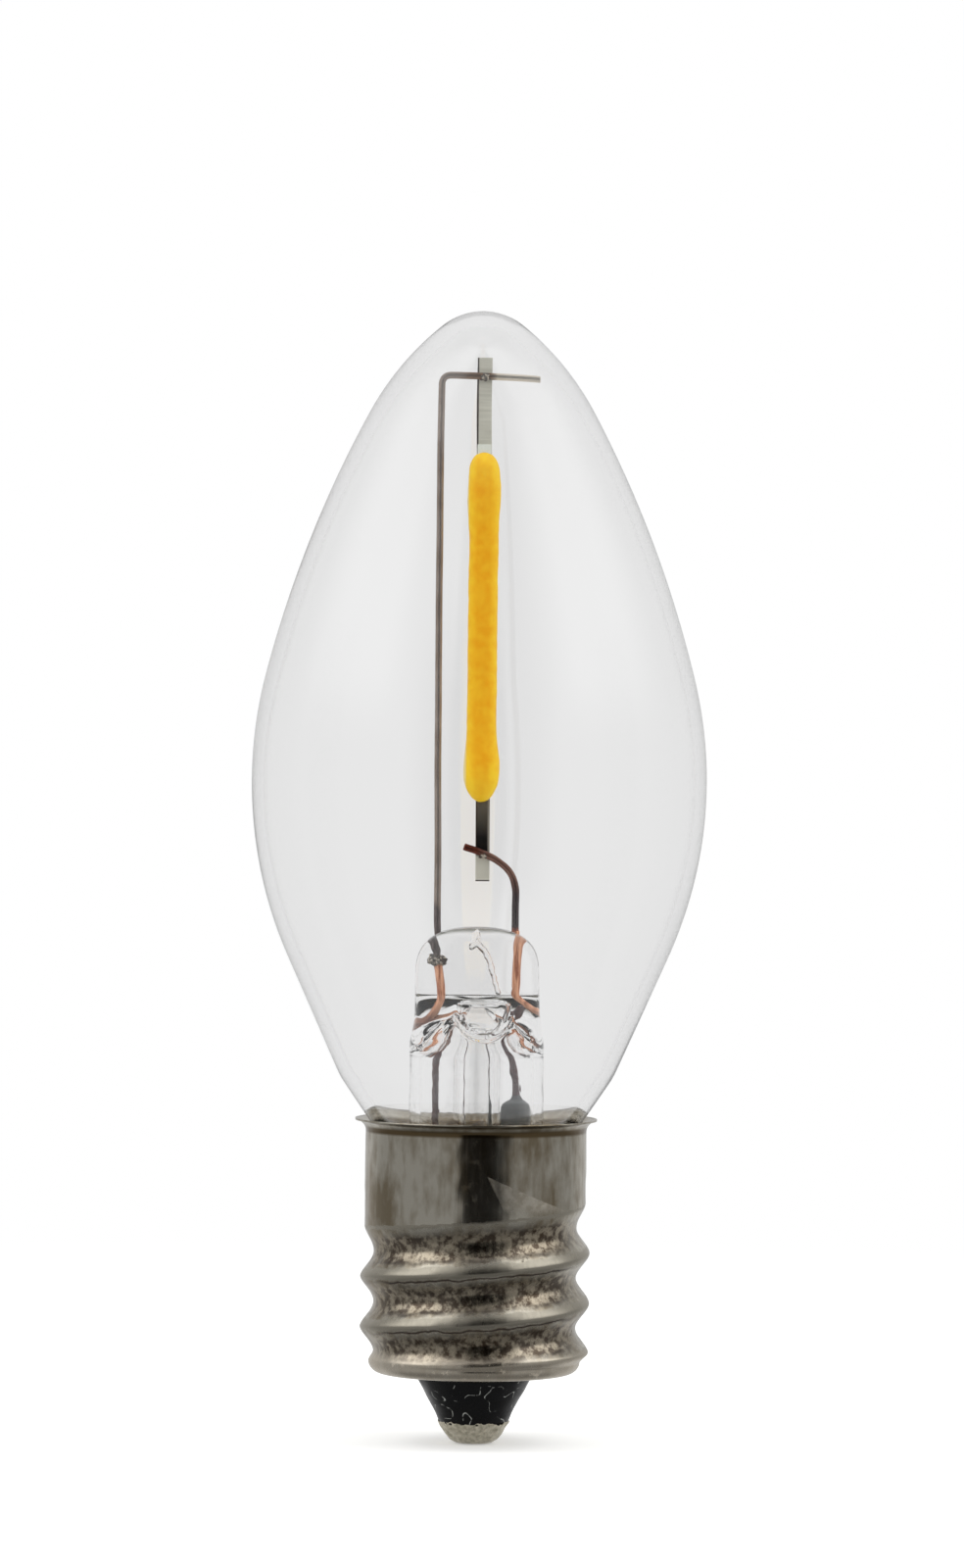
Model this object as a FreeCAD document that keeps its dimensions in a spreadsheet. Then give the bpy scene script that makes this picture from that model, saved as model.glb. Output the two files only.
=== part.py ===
import FreeCAD, Part
import Sketcher
import math
import os
from types import SimpleNamespace

# Clear candle-shaped christmas light bulb with one LED filament on a candelabra screw base.
# The bulb stands on its centre contact: Z is its axis, zero is the tip of the contact solder,
# and the side seen from the front is turned to -Y. All lengths are millimetres.

doc = FreeCAD.newDocument("christmas_light_bulb")
sheet = doc.addObject("Spreadsheet::Sheet", "Sizes")
Vector = FreeCAD.Vector

SIZES = {
    # blown glass envelope
    "bulb_height": 57.15,
    "bulb_diameter": 23.0,
    "widest_height": 33.4,
    "crown_radius": 3.25,
    "crown_span": 38.8,
    "ogive_radius": 14.4,
    "flank_radius": 58.0,
    "belly_radius": 21.8,
    "belly_turn": 10.0,
    "cone_top_height": 24.5,
    "cone_end_radius": 6.92,
    "cone_end_height": 18.5,
    "neck_radius": 4.95,
    "neck_top_height": 15.6,
    "neck_end_height": 12.45,
    "neck_bend": 1.2,
    "cone_bend": 4.0,
    "glass_wall": 0.65,
    # rolled screw shell
    "collar_radius": 5.59,
    "sheet": 0.25,
    "thread_pitch": 2.54,
    "root_depth": 0.39,
    "crest_height": 0.21,
    "groove_top_height": 10.93,
    "run_out_start": 0.02,
    "run_out_end": 0.3,
    "foot_radius": 5.35,
    "foot_height": 4.7,
    "foot_blend": 0.65,
    "foot_corner": 0.6,
    "shell_bottom": 3.45,
    "lip_radius": 2.95,
    "lip_drop": 0.15,
    "collar_top_height": 15.75,
    "rim_radius": 6.12,
    "rim_height": 16.3,
    # cement ring between glass and shell
    "cement_bottom": 13.0,
    "cement_top": 15.0,
    "cement_clearance": 0.02,
    # black glass insulator and centre contact
    "insulator_top": 5.3,
    "insulator_flange_radius": 4.7,
    "insulator_flange_height": 4.45,
    "insulator_step_radius": 2.07,
    "insulator_step_height": 1.8,
    "insulator_end_radius": 1.74,
    "insulator_end_height": 1.05,
    "insulator_fit": 0.03,
    "eyelet_hole_radius": 0.45,
    "eyelet_wall": 0.15,
    "eyelet_disc": 0.2,
    "eyelet_tube_length": 2.4,
    "solder_shoulder_height": 0.45,
    "solder_shoulder_radius": 1.42,
    "solder_flat_radius": 0.95,
    # pressed glass stem
    "stem_radius": 3.4,
    "stem_wall": 0.55,
    "flare_radius": 4.8,
    "flare_thickness": 1.1,
    "flare_bottom": 11.9,
    "flare_top": 14.3,
    "shoulder_bottom": 19.3,
    "shoulder_top": 22.7,
    "roof_height": 22.45,
    "roof_half_gap": 0.3,
    "press_half_width": 3.15,
    "press_half_depth": 1.4,
    "press_side_height": 25.55,
    "press_crown_height": 26.1,
    "press_corner": 1.7,
    "press_edge": 1.25,
    "press_crown_bend": 8.0,
    "blow_hole_offset": 0.35,
    "blow_hole_share": 0.73,
    "blow_hole_half_width": 1.15,
    "blow_hole_radius": 0.65,
    # exhaust tube
    "tube_radius": 1.15,
    "tube_bore_radius": 0.5,
    "tube_top_share": 0.317,
    "tube_bore_reach": 1.3,
    "tube_shoulder": 9.6,
    "tube_tip": 8.4,
    "tube_tip_radius": 0.25,
    # wires
    "wire_diameter": 0.35,
    "seal_wire_diameter": 0.38,
    "outer_lead_diameter": 0.34,
    "wire_bend": 0.45,
    "seal_wire_bend": 1.2,
    "short_lead_bend": 0.9,
    "mast_offset": 2.04,
    "arm_height": 53.87,
    "arm_drop": 0.16,
    "arm_reach": 2.94,
    "short_lead_offset": 1.87,
    "short_lead_corner_height": 28.6,
    "short_lead_knee": 0.65,
    "short_lead_reach": 0.72,
    "short_lead_tip_height": 30.12,
    "knot_offset": 1.92,
    "knot_height": 24.36,
    "knot_half_width": 0.48,
    "knot_half_height": 0.28,
    "tab_weld_half_width": 0.27,
    "tab_weld_half_height": 0.25,
    "weld_round": 0.2,
    "weld_sink": 0.04,
    "left_seal_bend_offset": 1.96,
    "left_seal_bend_height": 23.07,
    "left_seal_knee_offset": 2.44,
    "left_seal_knee_height": 21.45,
    "left_seal_foot_offset": 2.66,
    "left_seal_foot_height": 20.1,
    "right_seal_top_offset": 1.93,
    "right_seal_top_height": 25.75,
    "right_seal_bend_offset": 2.16,
    "right_seal_bend_height": 24.75,
    "right_seal_knee_offset": 2.0,
    "right_seal_knee_height": 22.7,
    "right_seal_foot_offset": 2.76,
    "right_seal_foot_height": 21.0,
    "side_lead_top_offset": 2.28,
    "side_lead_top_height": 21.05,
    "side_lead_knee_offset": 2.04,
    "side_lead_knee_height": 20.2,
    "side_lead_offset": 2.09,
    "side_lead_bearing": 120.0,
    "side_lead_low_height": 10.7,
    "side_lead_end_height": 14.6,
    "resistor_lead_top_offset": 2.38,
    "resistor_lead_top_height": 21.5,
    "resistor_lead_knee_offset": 1.97,
    "resistor_lead_knee_height": 20.4,
    "resistor_lead_bend_height": 18.62,
    "link_lead_jog": 0.6,
    "centre_lead_bend_height": 6.05,
    "centre_lead_knee_height": 5.75,
    "centre_lead_end_height": 0.5,
    # LED filament
    "filament_offset": 0.12,
    "strip_width": 0.7,
    "strip_depth": 0.4,
    "strip_top": 50.31,
    "strip_bottom": 32.75,
    "strip_overlap": 0.7,
    "tab_width": 0.76,
    "tab_sheet": 0.15,
    "upper_tab_top": 54.76,
    "lower_tab_bottom": 28.38,
    "chip_count": 24,
    "chip_width": 0.4,
    "chip_length": 0.56,
    "chip_depth": 0.12,
    "phosphor_top": 49.9,
    "phosphor_bottom": 32.39,
    "phosphor_radius": 0.745,
    "phosphor_upper_bulge": 0.84,
    "phosphor_lower_bulge": 0.89,
    "bulge_inset": 1.9,
    "bulge_length": 4.0,
    "bead_round": 0.65,
    "bead_round_inset": 0.06,
    "bead_end_radius": 0.56,
    "bead_depth_offset": -0.03,
    "chip_margin": 0.9,
    # parts of the supply in the base
    "resistor_offset": 2.02,
    "resistor_radius": 0.8,
    "resistor_top": 17.42,
    "resistor_length": 3.6,
    "resistor_cone": 0.3,
    "resistor_cap": 0.9,
    "resistor_cap_slope": 0.27,
    "resistor_waist": 0.1,
    "resistor_round": 0.12,
    "diode_radius": 0.95,
    "diode_length": 2.6,
    "diode_top": 9.2,
    "diode_offset": 2.15,
    "diode_round": 0.2,
}

for row, (alias, value) in enumerate(SIZES.items(), start=1):
    sheet.set(f"A{row}", alias.replace("_", " "))
    sheet.set(f"B{row}", str(value))
    sheet.setAlias(f"B{row}", alias)
doc.recompute()


class Size:
    """A length that carries its number and the sheet formula that gives it."""

    def __init__(self, value, formula):
        self.value = value
        self.formula = formula

    def joined(self, sign, other, value):
        return Size(value, f"({self.formula} {sign} {as_size(other).formula})")

    def __add__(self, other):
        return self.joined("+", other, self.value + as_size(other).value)

    def __sub__(self, other):
        return self.joined("-", other, self.value - as_size(other).value)

    def __mul__(self, other):
        return self.joined("*", other, self.value * as_size(other).value)

    def __truediv__(self, other):
        return self.joined("/", other, self.value / as_size(other).value)

    def __neg__(self):
        return Size(-self.value, f"(-1 * {self.formula})")


def as_size(number):
    """A Size as it is, or a plain number made one."""
    return number if isinstance(number, Size) else Size(float(number), repr(float(number)))


s = SimpleNamespace(**{alias: Size(sheet.get(alias), f"Sizes.{alias}") for alias in SIZES})
v = SimpleNamespace(**{alias: size.value for alias, size in vars(s).items()})
ZERO = as_size(0)
STATIONS_PER_PITCH = 12
STEPS_PER_TURN = 40


# Sketches and features shared by the pieces

def new_sketch(body, name, role, height=ZERO):
    """Empty sketch on one of the body's own planes, lifted along the plane's normal."""
    sketch = body.newObject("Sketcher::SketchObject", name)
    plane = [item for item in body.Origin.OriginFeatures if item.Role == role][0]
    sketch.AttachmentSupport = [(plane, "")]
    sketch.MapMode = "FlatFace"
    sketch.AttachmentOffset = FreeCAD.Placement(Vector(0, 0, height.value), FreeCAD.Rotation())
    if height.value:
        sketch.setExpression(".AttachmentOffset.Base.z", height.formula)
    return sketch


def pin(sketch, geometry, end, kind, size):
    """Dimension one end point of a sketch element along one direction from the origin."""
    if size.value == 0:
        axis = -2 if kind == "DistanceX" else -1
        sketch.addConstraint(Sketcher.Constraint("PointOnObject", geometry, end, axis))
    else:
        index = sketch.addConstraint(Sketcher.Constraint(kind, -1, 1, geometry, end, size.value))
        sketch.setExpression(f"Constraints[{index}]", size.formula)


def pin_point(sketch, geometry, end, across, up):
    """Dimension one end point of a sketch element both ways from the origin."""
    pin(sketch, geometry, end, "DistanceX", across)
    pin(sketch, geometry, end, "DistanceY", up)


def set_radius(sketch, geometry, size):
    """Dimension the radius of a circle or an arc."""
    index = sketch.addConstraint(Sketcher.Constraint("Radius", geometry, size.value))
    sketch.setExpression(f"Constraints[{index}]", size.formula)


def draw_outline(sketch, corners):
    """Closed outline of straight lines through the corners, each corner dimensioned."""
    points = [Vector(across.value, up.value, 0) for across, up in corners]
    count = len(points)
    for i in range(count):
        sketch.addGeometry(Part.LineSegment(points[i], points[(i + 1) % count]))
    for i in range(count):
        sketch.addConstraint(Sketcher.Constraint("Coincident", i, 2, (i + 1) % count, 1))
        pin_point(sketch, i, 1, *corners[i])


def draw_circle(sketch, across, up, radius):
    """One circle with its centre and radius dimensioned."""
    centre = Vector(across.value, up.value, 0)
    sketch.addGeometry(Part.Circle(centre, Vector(0, 0, 1), radius.value))
    pin_point(sketch, 0, 3, across, up)
    set_radius(sketch, 0, radius)


def draw_slot(sketch, across, up, half_length, radius):
    """Round-ended slot along the sketch's horizontal: two half circles and two lines."""
    reach = half_length - radius
    left = Vector(across.value - reach.value, up.value, 0)
    right = Vector(across.value + reach.value, up.value, 0)
    rise = Vector(0, radius.value, 0)
    normal = Vector(0, 0, 1)
    quarter = math.pi / 2
    sketch.addGeometry(Part.LineSegment(left - rise, right - rise))
    sketch.addGeometry(Part.ArcOfCircle(Part.Circle(right, normal, radius.value), -quarter, quarter))
    sketch.addGeometry(Part.LineSegment(right + rise, left + rise))
    sketch.addGeometry(Part.ArcOfCircle(Part.Circle(left, normal, radius.value), quarter, 3 * quarter))
    for i in range(4):
        sketch.addConstraint(Sketcher.Constraint("Coincident", i, 2, (i + 1) % 4, 1))
    pin_point(sketch, 0, 1, across - reach, up - radius)
    pin_point(sketch, 0, 2, across + reach, up - radius)
    pin_point(sketch, 2, 1, across + reach, up + radius)
    pin_point(sketch, 2, 2, across - reach, up + radius)
    pin(sketch, 1, 3, "DistanceX", across + reach)
    pin(sketch, 3, 3, "DistanceX", across - reach)


def turn(body, sketch, kind="PartDesign::Revolution"):
    """Turn a section about the vertical axis of its sketch."""
    feature = body.newObject(kind, sketch.Name + "_turned")
    feature.Profile = sketch
    feature.ReferenceAxis = (sketch, ["V_Axis"])
    feature.Angle = 360
    return feature


def turned_body(label, corners):
    """Body of revolution from a closed section of straight lines."""
    body = doc.addObject("PartDesign::Body", label)
    section = new_sketch(body, label + "_section", "XZ_Plane")
    draw_outline(section, corners)
    turn(body, section)
    doc.recompute()
    return body


def fillet(body, radius, wanted):
    """Round the body's edges that the test picks out."""
    names = [f"Edge{n}" for n, edge in enumerate(body.Shape.Edges, start=1) if wanted(edge)]
    feature = body.newObject("PartDesign::Fillet", body.Name + "_round")
    feature.Base = (feature.BaseFeature or body.Tip, names)
    feature.Radius = radius.value
    feature.setExpression("Radius", radius.formula)
    doc.recompute()


def circle_at(*places):
    """Test for whole circles about the axis at one of the (radius, height) places."""
    def wanted(edge):
        if edge.Degenerated or not isinstance(edge.Curve, Part.Circle):
            return False
        ring = edge.Curve
        return any(abs(ring.Radius - radius.value) < 1e-4 and abs(ring.Center.z - up.value) < 1e-4
                   for radius, up in places)
    return wanted


def place(item, across=ZERO, depth=ZERO):
    """Move a sub-part sideways, its place tied to the sheet."""
    item.Placement = FreeCAD.Placement(Vector(across.value, depth.value, 0), FreeCAD.Rotation())
    item.setExpression(".Placement.Base.x", across.formula)
    item.setExpression(".Placement.Base.y", depth.formula)


def cut_out(label, base, tools):
    """The base with a close-fitting seat for each of the tools."""
    for n, tool in enumerate(tools, start=1):
        cut = doc.addObject("Part::Cut", f"{label}_seat_{n}")
        cut.Base = base
        cut.Tool = tool
        base = cut
    base.Label = label
    doc.recompute()
    return base


def bent_route(points, bend):
    """Straight runs joined by tangent bends, as one wire edge chain."""
    edges = []
    start = points[0]
    for before, corner, after in zip(points, points[1:], points[2:]):
        arriving = (corner - before).normalize()
        leaving = (after - corner).normalize()
        turn_angle = arriving.getAngle(leaving)
        shorter = min((corner - before).Length, (after - corner).Length)
        setback = min(bend * math.tan(turn_angle / 2), 0.45 * shorter)
        first = corner - arriving * setback
        last = corner + leaving * setback
        radius = setback / math.tan(turn_angle / 2)
        to_centre = (leaving - arriving).normalize()
        middle = corner + to_centre * (radius / math.cos(turn_angle / 2) - radius)
        edges.append(Part.LineSegment(start, first).toShape())
        edges.append(Part.Arc(first, middle, last).toShape())
        start = last
    edges.append(Part.LineSegment(start, points[-1]).toShape())
    return Part.Wire(edges)


def bent_wire(label, diameter, bend, points):
    """Round wire swept along its bent route."""
    route = doc.addObject("Part::Feature", label + "_route")
    route.Shape = bent_route(points, bend.value)
    section = doc.addObject("Part::Circle", label + "_section")
    section.Radius = diameter.value / 2
    section.setExpression("Radius", f"{diameter.formula} / 2")
    heading = FreeCAD.Rotation(Vector(0, 0, 1), points[1] - points[0])
    section.Placement = FreeCAD.Placement(points[0], heading)
    wire = doc.addObject("Part::Sweep", label)
    wire.Sections = [section]
    wire.Spine = (route, [f"Edge{n}" for n in range(1, len(route.Shape.Edges) + 1)])
    wire.Solid = True
    doc.recompute()
    return wire


# Glass envelope: one blown piece, turned from tangent arcs, hollow down to its open neck

def glass_outline(inset):
    """Ends and centres of the arcs of the outer line, or of the line one inset further in.

    From the top: crown, ogive, flank, belly, the belly's lower arc, then the cone and the
    straight neck.
    """
    span = math.radians(90 - v.crown_span)
    outward = Vector(math.cos(span), math.sin(span), 0)
    crown = Vector(0, v.bulb_height - v.crown_radius, 0)
    ogive = crown - outward * (v.ogive_radius - v.crown_radius)
    belly = Vector(v.bulb_diameter / 2 - v.belly_radius, v.widest_height, 0)
    # the flank touches the ogive and the belly, so its centre lies on a circle round each
    apart = (belly - ogive).Length
    to_ogive = v.flank_radius - v.ogive_radius
    to_belly = v.flank_radius - v.belly_radius
    along = (apart ** 2 + to_ogive ** 2 - to_belly ** 2) / (2 * apart)
    aside = math.sqrt(to_ogive ** 2 - along ** 2)
    line = (belly - ogive).normalize()
    flank = ogive + line * along + Vector(line.y, -line.x, 0) * aside
    cone_end = Vector(v.cone_end_radius, v.cone_end_height, 0)
    low_radius, lean = low_belly()
    turn_angle = math.radians(v.belly_turn)
    square_to_turn = Vector(math.cos(turn_angle), -math.sin(turn_angle), 0)
    low_centre = belly + square_to_turn * (v.belly_radius - low_radius)
    square_to_cone = Vector(math.cos(lean), -math.sin(lean), 0)
    neck_top = Vector(v.neck_radius, v.neck_top_height, 0)
    funnel = (cone_end - neck_top).normalize()
    square_to_funnel = Vector(funnel.y, -funnel.x, 0)
    ends = [
        Vector(0, v.bulb_height - inset, 0),
        crown + outward * (v.crown_radius - inset),
        flank + (ogive - flank).normalize() * (v.flank_radius - inset),
        flank + (belly - flank).normalize() * (v.flank_radius - inset),
        belly + square_to_turn * (v.belly_radius - inset),
        low_centre + square_to_cone * (low_radius - inset),
        cone_end - bisector(square_to_cone, square_to_funnel) * inset,
        neck_top - bisector(square_to_funnel, Vector(1, 0, 0)) * inset,
        Vector(v.neck_radius - inset, v.neck_end_height, 0),
    ]
    return ends, [crown, ogive, flank, belly, low_centre]


def low_belly():
    """Radius of the belly's lower arc, and the lean of the cone that it runs into.

    The arc starts a little below the widest ring, where the glass has turned by the belly's
    turn, and ends at the cone's top height. The cone reaches its end radius from there. That
    holds where drop * tan((lean + turn) / 2) + run * tan(lean) is the distance that the glass
    draws in. The left side grows with the lean, so halving steps find it.
    """
    turn_angle = math.radians(v.belly_turn)
    drop = v.widest_height - v.belly_radius * math.sin(turn_angle) - v.cone_top_height
    run = v.cone_top_height - v.cone_end_height
    start = v.bulb_diameter / 2 - v.belly_radius * (1 - math.cos(turn_angle))
    low = turn_angle
    high = math.radians(80)
    for _ in range(60):
        lean = (low + high) / 2
        if drop * math.tan((lean + turn_angle) / 2) + run * math.tan(lean) < start - v.cone_end_radius:
            low = lean
        else:
            high = lean
    return drop / (math.sin(low) - math.sin(turn_angle)), low


def bisector(one, other):
    """Step from a corner of two walls to the corner of their parallels one unit away."""
    return (one + other) / (1 + one.dot(other))


def draw_glass_line(sketch, wall):
    """The turned section of the glass, or of the space inside it, down to the neck's end."""
    ends, centres = glass_outline(wall.value)
    radii = [s.crown_radius, s.ogive_radius, s.flank_radius, s.belly_radius, as_size(low_belly()[0])]
    radii = [radius - wall for radius in radii]
    for i, centre in enumerate(centres):
        ring = Part.Circle(centre, Vector(0, 0, 1), radii[i].value)
        low = ends[i + 1] - centre
        high = ends[i] - centre
        arc = Part.ArcOfCircle(ring, math.atan2(low.y, low.x), math.atan2(high.y, high.x))
        sketch.addGeometry(arc)
        set_radius(sketch, i, radii[i])
    floor = Vector(0, v.neck_end_height, 0)
    corners = ends[5:] + [floor, ends[0]]
    for start, end in zip(corners, corners[1:]):
        sketch.addGeometry(Part.LineSegment(start, end))
    # each arc starts at its lower end, where the next piece of the line takes over
    for i in range(4):
        sketch.addConstraint(Sketcher.Constraint("Tangent", i, 1, i + 1, 2))
    sketch.addConstraint(Sketcher.Constraint("Tangent", 4, 1, 5, 1))
    for i in range(5, 9):
        sketch.addConstraint(Sketcher.Constraint("Coincident", i, 2, i + 1, 1))
    sketch.addConstraint(Sketcher.Constraint("Coincident", 9, 2, 0, 2))
    pin_point(sketch, 0, 2, ZERO, s.bulb_height - wall)
    sketch.addConstraint(Sketcher.Constraint("PointOnObject", 0, 3, -2))
    sketch.addConstraint(Sketcher.Constraint("DistanceX", -1, 1, 0, 1, ends[1].x))
    pin_point(sketch, 3, 3, s.bulb_diameter / 2 - s.belly_radius, s.widest_height)
    sketch.addConstraint(Sketcher.Constraint("DistanceY", -1, 1, 3, 1, ends[4].y))
    sketch.addConstraint(Sketcher.Constraint("DistanceY", -1, 1, 5, 2, ends[6].y))
    sketch.addConstraint(Sketcher.Constraint("DistanceX", -1, 1, 5, 2, ends[6].x))
    sketch.addConstraint(Sketcher.Constraint("DistanceY", -1, 1, 6, 2, ends[7].y))
    pin(sketch, 6, 2, "DistanceX", s.neck_radius - wall)
    pin_point(sketch, 7, 2, s.neck_radius - wall, s.neck_end_height)
    pin_point(sketch, 8, 2, ZERO, s.neck_end_height)
    return [(as_size(ends[6].x), as_size(ends[6].y)), (as_size(ends[7].x), as_size(ends[7].y))]


def glass_envelope():
    """The bulb's wall: the outer form turned, its two bends rounded, the inside turned out."""
    body = doc.addObject("PartDesign::Body", "glass_envelope")
    outside = new_sketch(body, "envelope_outside", "XZ_Plane")
    bends = draw_glass_line(outside, ZERO)
    turn(body, outside)
    doc.recompute()
    fillet(body, s.cone_bend, circle_at(bends[0]))
    fillet(body, s.neck_bend, circle_at(bends[1]))
    inside = new_sketch(body, "envelope_inside", "XZ_Plane")
    bends = draw_glass_line(inside, s.glass_wall)
    turn(body, inside, "PartDesign::Groove")
    doc.recompute()
    fillet(body, s.cone_bend - s.glass_wall, circle_at(bends[0]))
    fillet(body, s.neck_bend + s.glass_wall, circle_at(bends[1]))
    return body


# Rolled screw shell: one sheet, drawn to a cup, flared at the rim and rolled to a right-hand thread

def fade(start, end, at):
    """Smooth step from 0 at start to 1 at end."""
    part = min(max((at - start) / (end - start), 0.0), 1.0)
    return part * part * (3 - 2 * part)


def thread_radius(angle, height):
    """Outer radius of the rolled wall: grooves of cosine form climb one pitch a turn.

    Turn number 0 is the highest groove. It runs out upwards, and the ridge above a groove
    stands proud of the collar only where the next groove lies over it.
    """
    turns = angle / (2 * math.pi)
    position = (height - v.groove_top_height) / v.thread_pitch - turns
    below = math.floor(position)
    part = position - below
    groove_below = 1 - fade(v.run_out_start, v.run_out_end, below + turns)
    groove_above = 1 - fade(v.run_out_start, v.run_out_end, below + 1 + turns)
    swell = (1 + math.cos(2 * math.pi * part)) / 2
    groove = groove_below if part < 0.5 else groove_above
    ridge = v.crest_height * groove_above * (1 - swell)
    rolled = v.collar_radius - v.root_depth * groove * swell + ridge
    foot = fade(v.foot_height - v.foot_blend, v.foot_height, height)
    return v.foot_radius + (rolled - v.foot_radius) * foot


def shell_stations():
    """Evenly spaced stations along the sheet: lip, foot corner, wall and flared rim.

    Each station is a radius, a height, the direction that faces into the shell, and whether
    the thread's radius takes the place of the station's own.
    """
    slope = math.atan2(v.lip_drop, v.foot_radius - v.lip_radius)
    corner_turn = math.pi / 2 - slope
    corner_middle = v.foot_radius - v.foot_corner
    corner_start = corner_middle + v.foot_corner * math.sin(slope)
    lip_length = (corner_start - v.lip_radius) / math.cos(slope)
    corner_bottom = v.shell_bottom + lip_length * math.sin(slope)
    wall_start = corner_bottom + v.foot_corner * math.cos(slope)
    corner_length = v.foot_corner * corner_turn
    wall_length = v.collar_top_height - wall_start
    spread = v.rim_radius - v.collar_radius
    lift = v.rim_height - v.collar_top_height
    flare_turn = 2 * math.atan2(spread, lift)
    flare = lift / math.sin(flare_turn)
    total = lip_length + corner_length + wall_length + flare * flare_turn
    steps = round(total / (v.thread_pitch / STATIONS_PER_PITCH))
    stations = []
    for step in range(steps + 1):
        along = total * step / steps
        if along < lip_length:
            radius = v.lip_radius + along * math.cos(slope)
            height = v.shell_bottom + along * math.sin(slope)
            stations.append((radius, height, (-math.sin(slope), math.cos(slope)), False))
            continue
        along -= lip_length
        if along < corner_length:
            swing = slope + along / v.foot_corner
            radius = corner_middle + v.foot_corner * math.sin(swing)
            height = wall_start - v.foot_corner * math.cos(swing)
            stations.append((radius, height, (-math.sin(swing), math.cos(swing)), False))
            continue
        along -= corner_length
        if along < wall_length:
            stations.append((v.collar_radius, wall_start + along, (-1.0, 0.0), True))
            continue
        swing = (along - wall_length) / flare
        radius = v.collar_radius + flare * (1 - math.cos(swing))
        height = v.collar_top_height + flare * math.sin(swing)
        stations.append((radius, height, (-math.cos(swing), math.sin(swing)), False))
    return stations


def sheet_face(stations, depth):
    """Smooth closed face at one depth in the sheet: a cubic B-spline, periodic round the axis.

    The spline runs a little inside its poles, so they stand out by the share that puts a
    plain ring of poles back on its true radius.
    """
    step_angle = 2 * math.pi / STEPS_PER_TURN
    stand_out = 3 / (2 + math.cos(step_angle))
    poles = []
    for radius, height, inward, threaded in stations:
        row = []
        for step in range(STEPS_PER_TURN):
            angle = step * step_angle
            out = thread_radius(angle, height) if threaded else radius
            reach = (out + inward[0] * depth) * stand_out
            up = height + inward[1] * depth
            row.append(Vector(reach * math.cos(angle), reach * math.sin(angle), up))
        poles.append(row)
    spans = len(poles) - 3
    surface = Part.BSplineSurface()
    surface.buildFromPolesMultsKnots(
        poles,
        [4] + [1] * (spans - 1) + [4],
        [1] * (STEPS_PER_TURN + 1),
        list(range(spans + 1)),
        list(range(STEPS_PER_TURN + 1)),
        False,
        True,
        3,
        3,
    )
    return surface


def screw_shell():
    """Solid between the sheet's outer and inner faces, closed at the lip and at the rim."""
    stations = shell_stations()
    outer = sheet_face(stations, 0)
    inner = sheet_face(stations, v.sheet)
    faces = [outer.toShape(), inner.toShape()]
    for end in outer.bounds()[0:2]:
        faces.append(Part.makeRuledSurface(outer.uIso(end).toShape(), inner.uIso(end).toShape()))
    shell = Part.Compound(faces)
    shell.sewShape()
    solid = Part.makeSolid(shell.Shells[0])
    if solid.Volume < 0:
        solid.reverse()
    piece = doc.addObject("Part::Feature", "screw_shell")
    piece.Shape = solid
    return piece


# Cement, insulator and centre contact: what fills and closes the shell

def base_cement():
    """Ring of cement between the glass neck and the collar."""
    inner = s.neck_radius + s.cement_clearance
    outer = s.collar_radius - s.sheet - s.cement_clearance
    return turned_body("base_cement", [
        (inner, s.cement_bottom),
        (outer, s.cement_bottom),
        (outer, s.cement_top),
        (inner, s.cement_top - s.cement_clearance),
    ])


def insulator():
    """Black glass button: a cone below the shell and a flange that lies on its bottom."""
    floor = s.shell_bottom + s.sheet + s.insulator_fit
    neck = s.lip_radius - s.insulator_fit
    body = turned_body("insulator", [
        (s.eyelet_hole_radius, s.insulator_end_height),
        (s.insulator_end_radius, s.insulator_end_height),
        (s.insulator_step_radius, s.insulator_step_height),
        (neck, s.shell_bottom - s.lip_drop),
        (neck, floor),
        (s.insulator_flange_radius, floor + s.lip_drop),
        (s.insulator_flange_radius, s.insulator_flange_height),
        (s.eyelet_hole_radius + s.eyelet_wall, s.insulator_top),
        (s.eyelet_hole_radius, s.insulator_top),
    ])
    return body


def contact_eyelet():
    """Brass eyelet: a disc under the insulator and a tube up its hole."""
    bore = s.eyelet_hole_radius - s.eyelet_wall
    return turned_body("contact_eyelet", [
        (bore, s.insulator_end_height - s.eyelet_disc),
        (s.insulator_end_radius - s.eyelet_disc, s.insulator_end_height - s.eyelet_disc),
        (s.insulator_end_radius - s.eyelet_disc, s.insulator_end_height),
        (s.eyelet_hole_radius, s.insulator_end_height),
        (s.eyelet_hole_radius, s.insulator_end_height + s.eyelet_tube_length),
        (bore, s.insulator_end_height + s.eyelet_tube_length),
    ])


def solder_cap():
    """Solder that covers the eyelet's disc, flattened where it meets the holder's spring."""
    disc = s.insulator_end_radius - s.eyelet_disc
    under = s.insulator_end_height - s.eyelet_disc
    return turned_body("solder_cap", [
        (ZERO, ZERO),
        (s.solder_flat_radius, ZERO),
        (s.solder_shoulder_radius, s.solder_shoulder_height),
        (s.insulator_end_radius, s.insulator_end_height),
        (disc, s.insulator_end_height),
        (disc, under),
        (ZERO, under),
    ])


# Glass stem: a flared tube pinched flat at its top on the lead wires

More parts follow.
